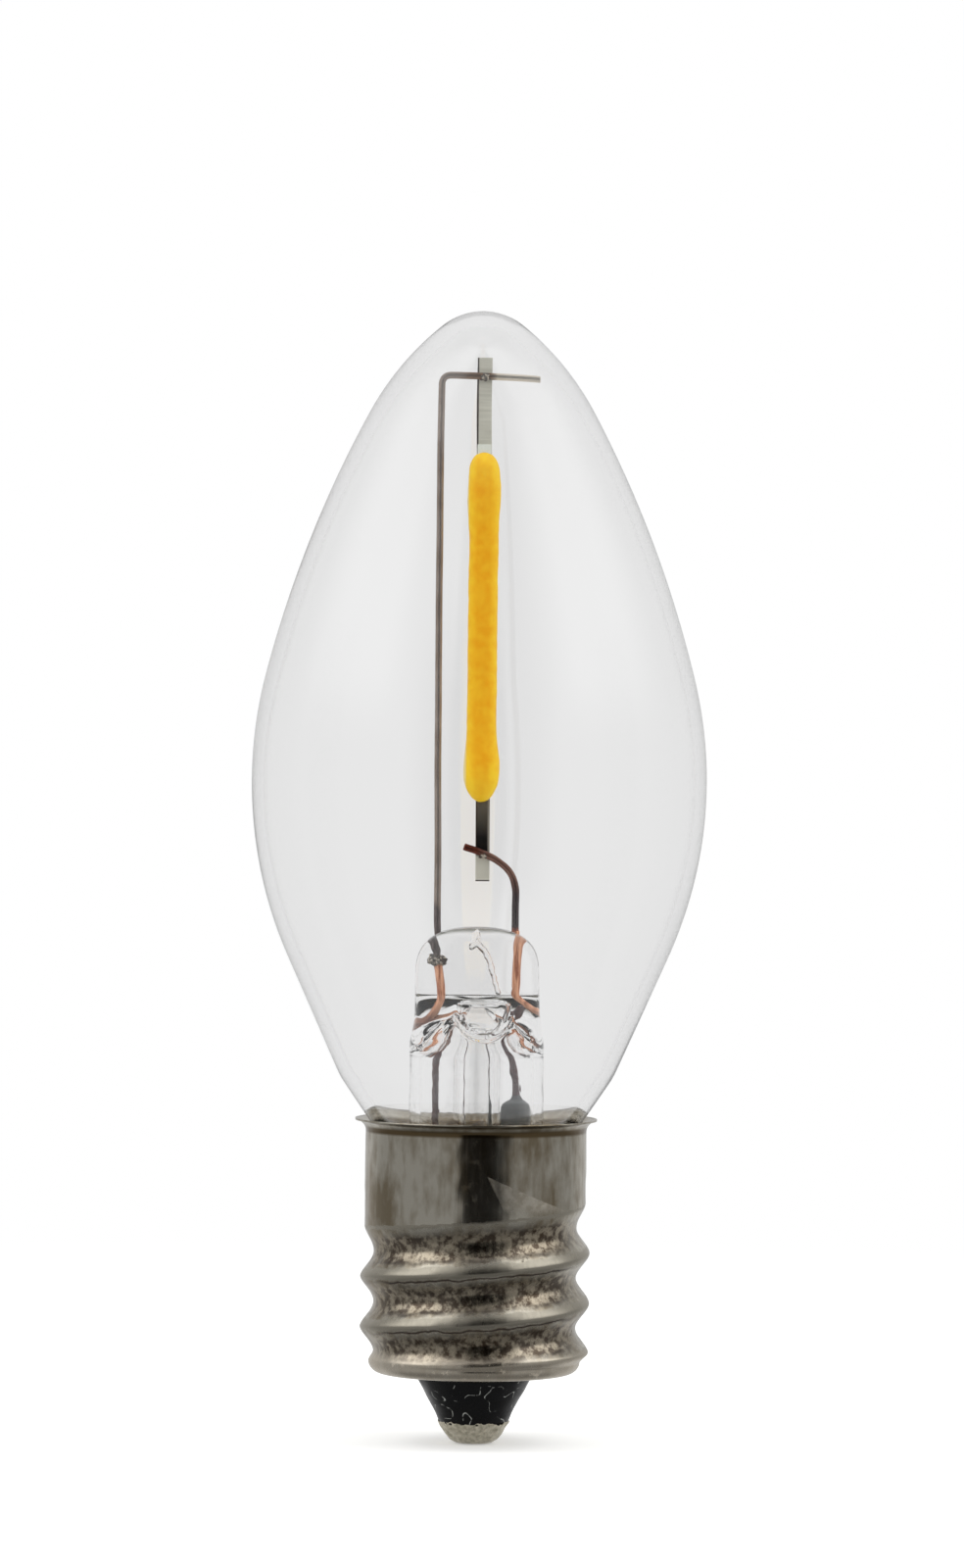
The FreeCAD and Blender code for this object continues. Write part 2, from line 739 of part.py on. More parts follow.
def stem_blank():
    """Flare, tube, shoulder and press in one piece of glass, with the wire seats still closed."""
    bore = s.stem_radius - s.stem_wall
    body = turned_body("stem_blank", [
        (bore, s.shoulder_bottom),
        (bore, s.flare_top),
        (s.flare_radius - s.flare_thickness, s.flare_bottom),
        (s.flare_radius, s.flare_bottom),
        (s.flare_radius, s.neck_end_height),
        (s.flare_radius - s.stem_wall, s.neck_end_height),
        (s.stem_radius, s.flare_top + s.stem_wall),
        (s.stem_radius, s.shoulder_bottom),
    ])
    low = new_sketch(body, "shoulder_low", "XY_Plane", s.shoulder_bottom)
    draw_circle(low, ZERO, ZERO, s.stem_radius)
    high = new_sketch(body, "shoulder_high", "XY_Plane", s.shoulder_top)
    draw_slot(high, ZERO, ZERO, s.press_half_width, s.press_half_depth)
    shoulder = body.newObject("PartDesign::AdditiveLoft", "shoulder")
    shoulder.Profile = low
    shoulder.Sections = [high]
    shoulder.Ruled = False
    doc.recompute()
    roof_low = new_sketch(body, "roof_low", "XY_Plane", s.shoulder_bottom)
    draw_circle(roof_low, ZERO, ZERO, bore)
    roof_high = new_sketch(body, "roof_high", "XY_Plane", s.roof_height)
    draw_slot(roof_high, ZERO, ZERO, s.press_half_width - s.stem_wall, s.roof_half_gap)
    roof = body.newObject("PartDesign::SubtractiveLoft", "roof")
    roof.Profile = roof_low
    roof.Sections = [roof_high]
    doc.recompute()
    front = new_sketch(body, "press_front", "XZ_Plane")
    draw_outline(front, [
        (-s.press_half_width, s.shoulder_top),
        (s.press_half_width, s.shoulder_top),
        (s.press_half_width, s.press_side_height),
        (ZERO, s.press_crown_height),
        (-s.press_half_width, s.press_side_height),
    ])
    press = body.newObject("PartDesign::Pad", "press")
    press.Profile = front
    press.SideType = "Symmetric"
    press.Length = 2 * v.press_half_depth
    press.setExpression("Length", (s.press_half_depth * 2).formula)
    doc.recompute()
    side_corners = [(-v.press_half_width, v.press_side_height), (v.press_half_width, v.press_side_height)]
    fillet(body, s.press_corner, cross_edge_at(side_corners))
    fillet(body, s.press_crown_bend, cross_edge_at([(0, v.press_crown_height)]))
    fillet(body, s.press_edge, press_face_edge)
    tube_top = tube_end()
    hole_height = s.shoulder_bottom + (s.roof_height - s.shoulder_bottom) * s.blow_hole_share
    joint = new_sketch(body, "tube_joint", "XY_Plane", tube_top)
    draw_circle(joint, ZERO, ZERO, s.tube_radius)
    pad = body.newObject("PartDesign::Pad", "tube_joint_pad")
    pad.Profile = joint
    set_length(pad, s.shoulder_top - tube_top)
    bore = new_sketch(body, "tube_joint_bore", "XY_Plane", tube_top)
    draw_circle(bore, ZERO, ZERO, s.tube_bore_radius)
    pocket(body, bore, s.tube_bore_reach)
    hole = new_sketch(body, "blow_hole", "XZ_Plane")
    draw_slot(hole, s.blow_hole_offset, hole_height, s.blow_hole_half_width, s.blow_hole_radius)
    pocket(body, hole, s.stem_radius)
    return body


def cross_edge_at(places):
    """Test for straight edges that run front to back at one of the (across, up) places."""
    def wanted(edge):
        if edge.Degenerated or len(edge.Vertexes) != 2:
            return False
        one, other = edge.Vertexes[0].Point, edge.Vertexes[1].Point
        if abs(one.x - other.x) > 1e-4 or abs(one.z - other.z) > 1e-4:
            return False
        return any(abs(one.x - across) < 1e-4 and abs(one.z - up) < 1e-4 for across, up in places)
    return wanted


def press_face_edge(edge):
    """Test for the sides and the top of the press's front and back faces."""
    box = edge.BoundBox
    flat = abs(box.YMax - box.YMin) < 1e-4 and abs(abs(box.YMax) - v.press_half_depth) < 1e-4
    return flat and box.ZMax > v.shoulder_top + 1e-3


def set_length(feature, size):
    """Give a pad or a pocket its length, tied to the sheet."""
    feature.Length = size.value
    feature.setExpression("Length", size.formula)


def pocket(body, sketch, depth):
    """Cut the sketch out of the body to the side that its plane's normal points to."""
    doc.recompute()
    before = body.Shape.Volume
    feature = body.newObject("PartDesign::Pocket", sketch.Name + "_cut")
    feature.Profile = sketch
    feature.Reversed = True
    set_length(feature, depth)
    doc.recompute()
    if body.Shape.Volume > before - 1e-6:
        raise RuntimeError(f"{sketch.Name} cuts nothing")


def tube_end():
    """Height at which the exhaust tube ends in the hollow under the press."""
    return s.shoulder_bottom + (s.roof_height - s.shoulder_bottom) * s.tube_top_share


def exhaust_tube():
    """Thin tube through which the bulb was pumped, drawn off to a closed tip."""
    top = tube_end()
    body = turned_body("exhaust_tube", [
        (s.tube_bore_radius, top),
        (s.tube_bore_radius, s.tube_shoulder),
        (ZERO, s.tube_shoulder - s.tube_bore_radius),
        (ZERO, s.tube_tip),
        (s.tube_tip_radius, s.tube_tip),
        (s.tube_radius, s.tube_shoulder),
        (s.tube_radius, top),
    ])
    fillet(body, s.tube_radius, circle_at((s.tube_radius, s.tube_shoulder)))
    return body


# Wires: the bulb's leads stand in one plane, the plane of the press

def plane_points(*pairs):
    """Route points in the plane of the press from (across, up) pairs."""
    return [Vector(across, 0, up) for across, up in pairs]


def support_wire():
    """Long nickel lead: up from the press, bent over, and across the filament's upper tab."""
    return bent_wire("support_wire", s.wire_diameter, s.wire_bend, plane_points(
        (-v.knot_offset, v.knot_height + v.knot_half_height / 2),
        (-v.mast_offset, v.press_crown_height),
        (-v.mast_offset, v.arm_height),
        (v.arm_reach, v.arm_height - v.arm_drop),
    ))


def short_lead():
    """Short lead: up from the press and bent back across the filament's lower tab."""
    return bent_wire("short_lead", s.wire_diameter, s.short_lead_bend, plane_points(
        (v.short_lead_offset, v.right_seal_top_height),
        (v.short_lead_offset, v.short_lead_corner_height),
        (v.short_lead_offset - v.short_lead_knee, v.short_lead_corner_height + v.short_lead_knee),
        (-v.short_lead_reach, v.short_lead_tip_height),
    ))


def left_seal_wire():
    """Copper-clad wire that seals in the glass, from the weld knot down and outward."""
    return bent_wire("left_seal_wire", s.seal_wire_diameter, s.seal_wire_bend, plane_points(
        (-v.knot_offset, v.knot_height - v.knot_half_height / 2),
        (-v.left_seal_bend_offset, v.left_seal_bend_height),
        (-v.left_seal_knee_offset, v.left_seal_knee_height),
        (-v.left_seal_foot_offset, v.left_seal_foot_height),
    ))


def right_seal_wire():
    """The seal wire on the short lead's side."""
    return bent_wire("right_seal_route", s.seal_wire_diameter, s.seal_wire_bend, plane_points(
        (v.right_seal_top_offset, v.right_seal_top_height),
        (v.right_seal_bend_offset, v.right_seal_bend_height),
        (v.right_seal_knee_offset, v.right_seal_knee_height),
        (v.right_seal_foot_offset, v.right_seal_foot_height),
    ))


def side_lead():
    """Lead that runs down the stem, out below the flare, and up between neck and collar."""
    bearing = math.radians(v.side_lead_bearing)
    reach = v.neck_radius + v.cement_clearance + v.outer_lead_diameter / 2
    aside = Vector(reach * math.cos(bearing), reach * math.sin(bearing), 0)
    route = plane_points(
        (-v.side_lead_top_offset, v.side_lead_top_height),
        (-v.side_lead_knee_offset, v.side_lead_knee_height),
        (-v.side_lead_offset, v.shoulder_bottom),
        (-v.side_lead_offset, v.side_lead_low_height),
    )
    route.append(aside + Vector(0, 0, v.side_lead_low_height))
    route.append(aside + Vector(0, 0, v.side_lead_end_height))
    return bent_wire("side_lead_whole", s.outer_lead_diameter, s.wire_bend, route)


def resistor_lead():
    """Upper lead of the resistor, from the right seal wire's foot down to the lacquer."""
    return bent_wire("resistor_lead_whole", s.outer_lead_diameter, s.wire_bend, plane_points(
        (v.resistor_lead_top_offset, v.resistor_lead_top_height),
        (v.resistor_lead_knee_offset, v.resistor_lead_knee_height),
        (v.resistor_offset, v.resistor_lead_bend_height),
        (v.resistor_offset, v.resistor_top + v.resistor_cone),
    ))


def link_lead():
    """Lead between the resistor and the rectifier."""
    low = v.resistor_top - v.resistor_length - v.resistor_cone
    middle = (low + v.diode_top) / 2
    return bent_wire("link_lead", s.outer_lead_diameter, s.wire_bend, plane_points(
        (v.resistor_offset, low),
        (v.resistor_offset, middle + v.link_lead_jog),
        (v.diode_offset, middle - v.link_lead_jog),
        (v.diode_offset, v.diode_top),
    ))


def centre_lead():
    """Lead from the rectifier through the insulator's eyelet into the contact solder."""
    return bent_wire("centre_lead", s.outer_lead_diameter, s.wire_bend, plane_points(
        (v.diode_offset, v.diode_top - v.diode_length),
        (v.diode_offset, v.centre_lead_bend_height),
        (0, v.centre_lead_knee_height),
        (0, v.centre_lead_end_height),
    ))


def weld_bead(label, across, up, reach, half_height, joined):
    """Round-edged drop of welded metal on the wires and tabs that it joins."""
    drop = turned_body(label + "_drop", [
        (ZERO, up - half_height),
        (reach, up - half_height),
        (reach, up + half_height),
        (ZERO, up + half_height),
    ])
    fillet(drop, s.weld_round, circle_at((reach, up - half_height), (reach, up + half_height)))
    place(drop, across)
    doc.recompute()
    return cut_out(label, drop, joined)


def group(label, members):
    """Like pieces kept in one node as separate solids."""
    compound = doc.addObject("Part::Compound", label)
    compound.Links = members
    doc.recompute()
    return compound


# LED filament: a ceramic strip with its chips in a bead of phosphor, and a tab at each end

def strip_box(label, width, depth, front, bottom, top):
    """Upright strip centred on the filament's line, its front face at the given depth."""
    box = doc.addObject("Part::Box", label)
    for name, size in (("Length", width), ("Width", depth), ("Height", top - bottom)):
        setattr(box, name, size.value)
        box.setExpression(name, size.formula)
    left = s.filament_offset - width / 2
    box.Placement = FreeCAD.Placement(Vector(left.value, front.value, bottom.value), FreeCAD.Rotation())
    for axis, size in (("x", left), ("y", front), ("z", bottom)):
        box.setExpression(f".Placement.Base.{axis}", size.formula)
    doc.recompute()
    return box


def led_chips(strip_front):
    """Row of small diode chips on the front of the strip, evenly spaced under the bead."""
    low = s.phosphor_bottom + s.chip_margin
    high = s.phosphor_top - s.chip_margin
    count = round(v.chip_count)
    step = (high - low - s.chip_length) / (count - 1)
    chips = []
    for n in range(count):
        bottom = low + step * n
        chips.append(strip_box(f"chip_{n + 1}", s.chip_width, s.chip_depth, strip_front - s.chip_depth,
                               bottom, bottom + s.chip_length))
    return group("led_chips", chips)


def phosphor_bead():
    """Bead of silicone, thicker near its two ends where it was dispensed first and last."""
    top = v.phosphor_top
    bottom = v.phosphor_bottom
    half = v.phosphor_radius
    upper = v.phosphor_upper_bulge
    lower = v.phosphor_lower_bulge
    line = Part.BSplineCurve()
    line.interpolate([
        Vector(v.bead_end_radius, 0, top),
        Vector(upper - v.bead_round_inset, 0, top - v.bead_round),
        Vector(upper, 0, top - v.bulge_inset),
        Vector(half, 0, top - v.bulge_length),
        Vector(half, 0, (top + bottom) / 2),
        Vector(half, 0, bottom + v.bulge_length),
        Vector(lower, 0, bottom + v.bulge_inset),
        Vector(lower - v.bead_round_inset, 0, bottom + v.bead_round),
        Vector(v.bead_end_radius, 0, bottom),
    ])
    closing = Part.makePolygon([line.EndPoint, Vector(0, 0, bottom), Vector(0, 0, top), line.StartPoint])
    face = Part.Face(Part.Wire([line.toShape()] + closing.Edges))
    bead = doc.addObject("Part::Feature", "phosphor_bead")
    bead.Shape = face.revolve(Vector(0, 0, 0), Vector(0, 0, 1), 360)
    bead.Placement = FreeCAD.Placement(Vector(v.filament_offset, v.bead_depth_offset, 0), FreeCAD.Rotation())
    return bead


# Supply parts that stand in the base

def dropper_resistor():
    """Lacquered film resistor: two caps, a slimmer middle, a cone of lacquer at each lead."""
    top = s.resistor_top
    bottom = top - s.resistor_length
    waist = s.resistor_radius - s.resistor_waist
    cap = s.resistor_cap
    slope = s.resistor_cap_slope
    neck = s.outer_lead_diameter
    body = turned_body("dropper_resistor", [
        (ZERO, top + s.resistor_cone),
        (neck, top + s.resistor_cone),
        (s.resistor_radius, top),
        (s.resistor_radius, top - cap),
        (waist, top - cap - slope),
        (waist, bottom + cap + slope),
        (s.resistor_radius, bottom + cap),
        (s.resistor_radius, bottom),
        (neck, bottom - s.resistor_cone),
        (ZERO, bottom - s.resistor_cone),
    ])
    shoulders = [(s.resistor_radius, up) for up in (top, top - cap, bottom + cap, bottom)]
    fillet(body, s.resistor_round, circle_at(*shoulders))
    place(body, s.resistor_offset)
    doc.recompute()
    return body


def rectifier_diode():
    """Moulded rectifier between the resistor and the centre contact."""
    bottom = s.diode_top - s.diode_length
    body = turned_body("rectifier_diode", [
        (ZERO, s.diode_top),
        (s.diode_radius, s.diode_top),
        (s.diode_radius, bottom),
        (ZERO, bottom),
    ])
    fillet(body, s.diode_round, circle_at((s.diode_radius, s.diode_top), (s.diode_radius, bottom)))
    place(body, s.diode_offset)
    doc.recompute()
    return body


# Assembly: wires first, then what closes round them

mast = support_wire()
short = short_lead()
seal_left = left_seal_wire()
seal_right = cut_out("right_seal_wire", right_seal_wire(), [short])
side = cut_out("side_lead", side_lead(), [seal_left])
drop_lead = cut_out("resistor_lead", resistor_lead(), [seal_right])
link = link_lead()
centre = centre_lead()

tab_front = s.wire_diameter / 2 - s.weld_sink
strip_front = tab_front - s.strip_depth
strip = strip_box("ceramic_strip", s.strip_width, s.strip_depth, strip_front, s.strip_bottom, s.strip_top)
upper_tab = cut_out("upper_tab", strip_box("upper_tab_blank", s.tab_width, s.tab_sheet, tab_front,
                                           s.strip_top - s.strip_overlap, s.upper_tab_top), [mast])
lower_tab = cut_out("lower_tab", strip_box("lower_tab_blank", s.tab_width, s.tab_sheet, tab_front,
                                           s.lower_tab_bottom, s.strip_bottom + s.strip_overlap), [short])
chips = led_chips(strip_front)
phosphor = cut_out("phosphor_coat", phosphor_bead(), [strip, upper_tab, lower_tab, chips])

arm_slope = v.arm_drop / (v.arm_reach + v.mast_offset)
arm_at_tab = v.arm_height - arm_slope * (v.filament_offset + v.mast_offset)
lead_slope_run = v.short_lead_offset - v.short_lead_knee + v.short_lead_reach
lead_fall = v.short_lead_tip_height - v.short_lead_corner_height - v.short_lead_knee
lead_at_tab = v.short_lead_tip_height - lead_fall * (v.filament_offset + v.short_lead_reach) / lead_slope_run
knot = weld_bead("left_knot", -s.knot_offset, s.knot_height, s.knot_half_width,
                 s.knot_half_height, [mast, seal_left])
beads = group("weld_beads", [
    knot,
    weld_bead("upper_weld", s.filament_offset, as_size(arm_at_tab), s.tab_weld_half_width,
              s.tab_weld_half_height, [mast, upper_tab]),
    weld_bead("lower_weld", s.filament_offset, as_size(lead_at_tab), s.tab_weld_half_width,
              s.tab_weld_half_height, [short, lower_tab]),
])

stem = cut_out("stem_glass", stem_blank(), [mast, short, seal_left, seal_right, side, drop_lead, knot])
cement = cut_out("cement_ring", base_cement(), [side])
solder = cut_out("contact_solder", solder_cap(), [centre])

parts = [
    glass_envelope(),
    stem,
    exhaust_tube(),
    mast,
    short,
    seal_left,
    seal_right,
    side,
    drop_lead,
    link,
    centre,
    beads,
    strip,
    upper_tab,
    lower_tab,
    chips,
    phosphor,
    dropper_resistor(),
    rectifier_diode(),
    screw_shell(),
    cement,
    insulator(),
    contact_eyelet(),
    solder,
]

doc.recompute()
faults = [item.Name for item in doc.Objects if {"Invalid", "Error"} & set(item.State)]
for item in parts:
    shape = item.Shape
    if shape.isNull() or not shape.isValid() or not shape.Solids:
        faults.append(item.Label)
if faults:
    raise RuntimeError("these did not build: " + ", ".join(faults))

os.makedirs("parts", exist_ok=True)
for item in parts:
    item.Shape.exportStep(f"parts/{item.Label}.step")
    print(f"{item.Label}: {len(item.Shape.Solids)} solid(s), {item.Shape.Volume:.3f} mm3")
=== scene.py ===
import math

import bpy
import numpy as np
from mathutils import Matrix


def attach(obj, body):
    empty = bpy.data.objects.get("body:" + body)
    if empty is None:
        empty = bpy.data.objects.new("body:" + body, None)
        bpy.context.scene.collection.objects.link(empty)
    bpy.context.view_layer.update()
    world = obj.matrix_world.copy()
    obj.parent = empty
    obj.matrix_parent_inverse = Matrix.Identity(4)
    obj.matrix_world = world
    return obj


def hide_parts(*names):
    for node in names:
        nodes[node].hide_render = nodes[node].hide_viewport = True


# Clear candle-shaped christmas light bulb: blown glass, an LED filament on a pressed glass stem,
# and a tarnished candelabra screw base. Sizes are in millimetres until a mesh is made.

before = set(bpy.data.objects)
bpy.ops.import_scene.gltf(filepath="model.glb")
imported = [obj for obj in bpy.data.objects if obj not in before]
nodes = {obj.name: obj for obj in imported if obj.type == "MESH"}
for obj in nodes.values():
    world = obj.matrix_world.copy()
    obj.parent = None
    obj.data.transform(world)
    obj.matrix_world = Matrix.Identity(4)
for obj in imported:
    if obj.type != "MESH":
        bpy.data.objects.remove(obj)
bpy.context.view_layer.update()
scene = bpy.context.scene
scene.view_settings.view_transform = "Standard"


# Camera. It stands near, level with the bulb's middle, so the base is seen from above and its
# foot rounder than its rim. The bulb leans a hair in the picture, so the camera is rolled.

MM = 0.001
PICTURE_HEIGHT = 79.2
CAMERA_DISTANCE = 290.0
CAMERA_ROLL = math.radians(0.53)
AIM_HEIGHT, AIM_ACROSS = 33.27, 0.14
SENSOR = 36.0
NEAREST, FARTHEST = 0.05, 20.0


def stand(thing, across, upward, backward, spot):
    """Put a thing in the scene at a spot, its three axes along the given directions."""
    scene.collection.objects.link(thing)
    pose = np.eye(4)
    pose[:3, 0], pose[:3, 1], pose[:3, 2], pose[:3, 3] = across, upward, backward, spot * MM
    thing.matrix_world = pose.T.tolist()


cam = bpy.data.objects.new("camera", bpy.data.cameras.new("camera"))
cam.data.sensor_width = SENSOR
cam.data.lens = SENSOR * CAMERA_DISTANCE / PICTURE_HEIGHT
cam.data.clip_start = NEAREST
cam.data.clip_end = FARTHEST
right = np.array([math.cos(CAMERA_ROLL), 0.0, math.sin(CAMERA_ROLL)])
upward = np.array([-math.sin(CAMERA_ROLL), 0.0, math.cos(CAMERA_ROLL)])
backward = np.array([0.0, -1.0, 0.0])
stand(cam, right, upward, backward, right * AIM_ACROSS + backward * CAMERA_DISTANCE + [0.0, 0.0, AIM_HEIGHT])
scene.camera = cam


# Light tent. White cloth on all sides, a darker gap where the camera looks in, two soft lamps
# high at the sides, and a pale floor that runs out into the white.

def colour(code):
    """Linear colour of an sRGB hex value, each channel by the sRGB curve."""
    share = np.array([int(code[i:i + 2], 16) for i in (0, 2, 4)]) / 255
    linear = np.where(share <= 0.04045, share / 12.92, ((share + 0.055) / 1.055) ** 2.4)
    return (*linear.tolist(), 1.0)


def feed(node, sockets):
    """Each input, by its name or number, gets a link, a hex colour or a value."""
    for name, value in sockets.items():
        if isinstance(value, bpy.types.NodeSocket):
            node.id_data.links.new(value, node.inputs[name])
        else:
            node.inputs[name].default_value = colour(value) if isinstance(value, str) else value


def add(kind, sockets=None, tree=None, **settings):
    """A shader node of a kind, in a tree or else in that of its first linked socket."""
    linked = [value for value in (sockets or {}).values() if isinstance(value, bpy.types.NodeSocket)]
    node = (tree or linked[0].id_data).nodes.new("ShaderNode" + kind)
    for name, value in settings.items():
        setattr(node, name, value)
    feed(node, sockets or {})
    return node


def calc(operation, *values, clamp=False):
    """One sum on values or sockets."""
    return add("Math", dict(enumerate(values)), operation=operation, use_clamp=clamp).outputs[0]


def times(first, *others):
    """The product of a socket and others."""
    for other in others:
        first = calc("MULTIPLY", first, other)
    return first


def ramp(value, start, end, low=0.0, high=1.0, shape="LINEAR"):
    """From low to high while the value goes from start to end, and level outside."""
    return add("MapRange", {0: value, 1: start, 2: end, 3: low, 4: high},
               interpolation_type=shape).outputs[0]


def soft_ramp(*values):
    """A ramp that starts and ends gently."""
    return ramp(*values, shape="SMOOTHSTEP")


def blend(share, first, second):
    """A value from the first, where the share is 0, to the second."""
    return add("Mix", {0: share, 2: first, 3: second}).outputs[0]


def mix(share, first, second):
    """A colour from the first, where the share is 0, to the second."""
    return add("Mix", {0: share, 6: first, 7: second}, data_type="RGBA").outputs[2]


def parts(way):
    """The X, Y and Z of a place or a direction."""
    return add("SeparateXYZ", {0: way}).outputs


CLOTH_LIGHT = 0.86
THROUGH_GLASS = 0.82
CLOTH_AT_SIDES, CLOTH_BEHIND = 0.34, 0.6
BEHIND = (1.9, 2.7)
SOFTBOX = 1.15
SOFTBOX_FRONT, SOFTBOX_BACK, SOFTBOX_RISE = (0.62, 1.05), (1.5, 2.2), (0.1, 0.5)
UNDER, UNDER_SHARE = (-0.45, -0.8), 0.55
GAP_DARK = 0.02
GAP_LEFT, GAP_RIGHT, GAP_TOP, GAP_BOTTOM = (-0.31, -0.21), (0.38, 0.8), (0.72, 0.95), (-0.65, -0.4)
TURNED_BACK = (0.0, 0.4)
SEEN_BELOW = (-0.5, -0.85)
FACES_OF_BOTH_WALLS = 5.0

world = bpy.data.worlds.new("light_tent")
scene.world = world
world.use_nodes = True
world.cycles.sampling_method = "NONE"
world.node_tree.nodes.clear()
rays = add("LightPath", tree=world.node_tree).outputs
sky = add("TexCoord", tree=world.node_tree).outputs["Generated"]
heading = parts(sky)
to_camera = times(heading["Y"], -1.0)
bearing = calc("ARCTAN2", heading["X"], to_camera)
aside = calc("ABSOLUTE", bearing)

# what metal and the glass's faces mirror: cloth, a soft box at each side, the gap in front
softbox = times(soft_ramp(aside, *SOFTBOX_FRONT, 0.0, SOFTBOX), soft_ramp(aside, *SOFTBOX_BACK, 1.0, 0.0))
cloth = soft_ramp(aside, *BEHIND, CLOTH_AT_SIDES, CLOTH_BEHIND)
cloth = calc("MULTIPLY_ADD", softbox, soft_ramp(heading["Z"], *SOFTBOX_RISE), cloth)
cloth = times(cloth, soft_ramp(heading["Z"], *UNDER, 1.0, UNDER_SHARE))
gap = times(soft_ramp(bearing, *GAP_LEFT), soft_ramp(bearing, *GAP_RIGHT, 1.0, 0.0),
            soft_ramp(heading["Z"], *GAP_TOP, 1.0, 0.0), soft_ramp(heading["Z"], *GAP_BOTTOM))
mirrored = blend(gap, cloth, GAP_DARK)

# what shows through glass: pale cloth, the gap where light turns back, olive where the stem bends it down
seen_through = blend(times(ramp(to_camera, *TURNED_BACK), gap), THROUGH_GLASS, GAP_DARK)
in_stem = calc("GREATER_THAN", rays["Transmission Depth"], FACES_OF_BOTH_WALLS)
cloth_tone = mix(times(soft_ramp(heading["Z"], *SEEN_BELOW), in_stem), "FFFFFF", "5C5C4C")
strength = blend(rays["Is Glossy Ray"], CLOTH_LIGHT, mirrored)
strength = blend(rays["Is Transmission Ray"], strength, seen_through)
strength = blend(rays["Is Camera Ray"], strength, 1.0)
cloth_glow = add("Background", {"Color": cloth_tone, "Strength": strength})
add("OutputWorld", {"Surface": cloth_glow.outputs[0]})

LAMP_DISTANCE = 600.0
LAMP_SIZE = (340.0, 520.0)
LAMP_BEARING, LAMP_ELEVATION = math.radians(74), math.radians(42)
LAMP_WATTS = 1.25

for side in (-1, 1):
    lamp = bpy.data.lights.new(f"side_lamp_{'left' if side < 0 else 'right'}", "AREA")
    lamp.shape = "RECTANGLE"
    lamp.size, lamp.size_y = LAMP_SIZE[0] * MM, LAMP_SIZE[1] * MM
    lamp.energy = LAMP_WATTS
    holder = bpy.data.objects.new(lamp.name, lamp)
    out = np.array([side * math.sin(LAMP_BEARING) * math.cos(LAMP_ELEVATION),
                    -math.cos(LAMP_BEARING) * math.cos(LAMP_ELEVATION), math.sin(LAMP_ELEVATION)])
    flat = np.cross([0.0, 0.0, 1.0], out)
    flat /= np.linalg.norm(flat)
    stand(holder, flat, np.cross(out, flat), out, out * LAMP_DISTANCE + [0.0, 0.0, AIM_HEIGHT])
    holder.visible_camera = holder.visible_glossy = holder.visible_transmission = False


def skin(name, rows, ring_of_rows=False):
    """Mesh object from rows of points in millimetres, each row a closed ring of as many points.

    The rows follow a path from its first to its last row, which shrink to one point each. With
    ring_of_rows the last row is joined to the first instead. Rings turn left about the path.
    """
    count, around = rows.shape[:2]
    if ring_of_rows:
        points = rows.reshape(-1, 3)
        ring = np.arange(count * around).reshape(count, around)
        above = np.roll(ring, -1, axis=0)
        fans = []
    else:
        points = np.concatenate([rows[:1].mean(1), rows[1:-1].reshape(-1, 3), rows[-1:].mean(1)])
        ring = np.arange((count - 2) * around).reshape(count - 2, around) + 1
        low = np.stack([np.zeros_like(ring[0]), np.roll(ring[0], -1), ring[0]], -1)
        high = np.stack([ring[-1], np.roll(ring[-1], -1), np.full_like(ring[0], len(points) - 1)], -1)
        fans = low.tolist() + high.tolist()
        above = ring[1:]
        ring = ring[:-1]
    quads = np.stack([ring, np.roll(ring, -1, axis=1), np.roll(above, -1, axis=1), above], -1)
    mesh = bpy.data.meshes.new(name)
    mesh.from_pydata((points * MM).tolist(), [], quads.reshape(-1, 4).tolist() + fans)
    mesh.shade_smooth()
    piece = bpy.data.objects.new(name, mesh)
    scene.collection.objects.link(piece)
    return piece


def about(count):
    """That many even steps of a full turn."""
    return np.arange(count) * (2 * np.pi / count)


def carried(radius, height, angle):
    """Points at each radius and height, carried round the axis to every angle."""
    height = np.broadcast_to(height, (len(radius), len(angle)))
    return np.stack([radius * np.cos(angle), radius * np.sin(angle), height], -1)


def turned(profile, around):
    """Rows of a surface of revolution: each (radius, height) of the profile carried round the axis."""
    return carried(profile[:, :1], profile[:, 1:], about(around))


def new_material(name, kind="BsdfPrincipled"):
    """New material with one shader; gives the material, its shader and the place on the object."""
    material = bpy.data.materials.new(name)
    material.use_nodes = True
    material.node_tree.nodes.clear()
    shader = add(kind, tree=material.node_tree)
    place = add("TexCoord", tree=material.node_tree).outputs["Object"]
    return material, shader, place


def dress(piece, material):
    """Give a piece, or a node of the solids, one material in its slot."""
    piece.data.materials.clear()
    piece.data.materials.append(material)


FLOOR_RADIUS = 260.0
FLOOR_TOP, FLOOR_UNDERSIDE = -0.02, -2.0
FLOOR_FADE = (40.0 * MM, 130.0 * MM)
FLOOR_LIFT = 0.3

edge = [(0.0, FLOOR_UNDERSIDE), (FLOOR_RADIUS * 0.5, FLOOR_UNDERSIDE), (FLOOR_RADIUS, FLOOR_UNDERSIDE),
        (FLOOR_RADIUS, FLOOR_TOP), (FLOOR_RADIUS * 0.5, FLOOR_TOP), (0.0, FLOOR_TOP)]
floor = skin("floor", turned(np.array(edge), 64))

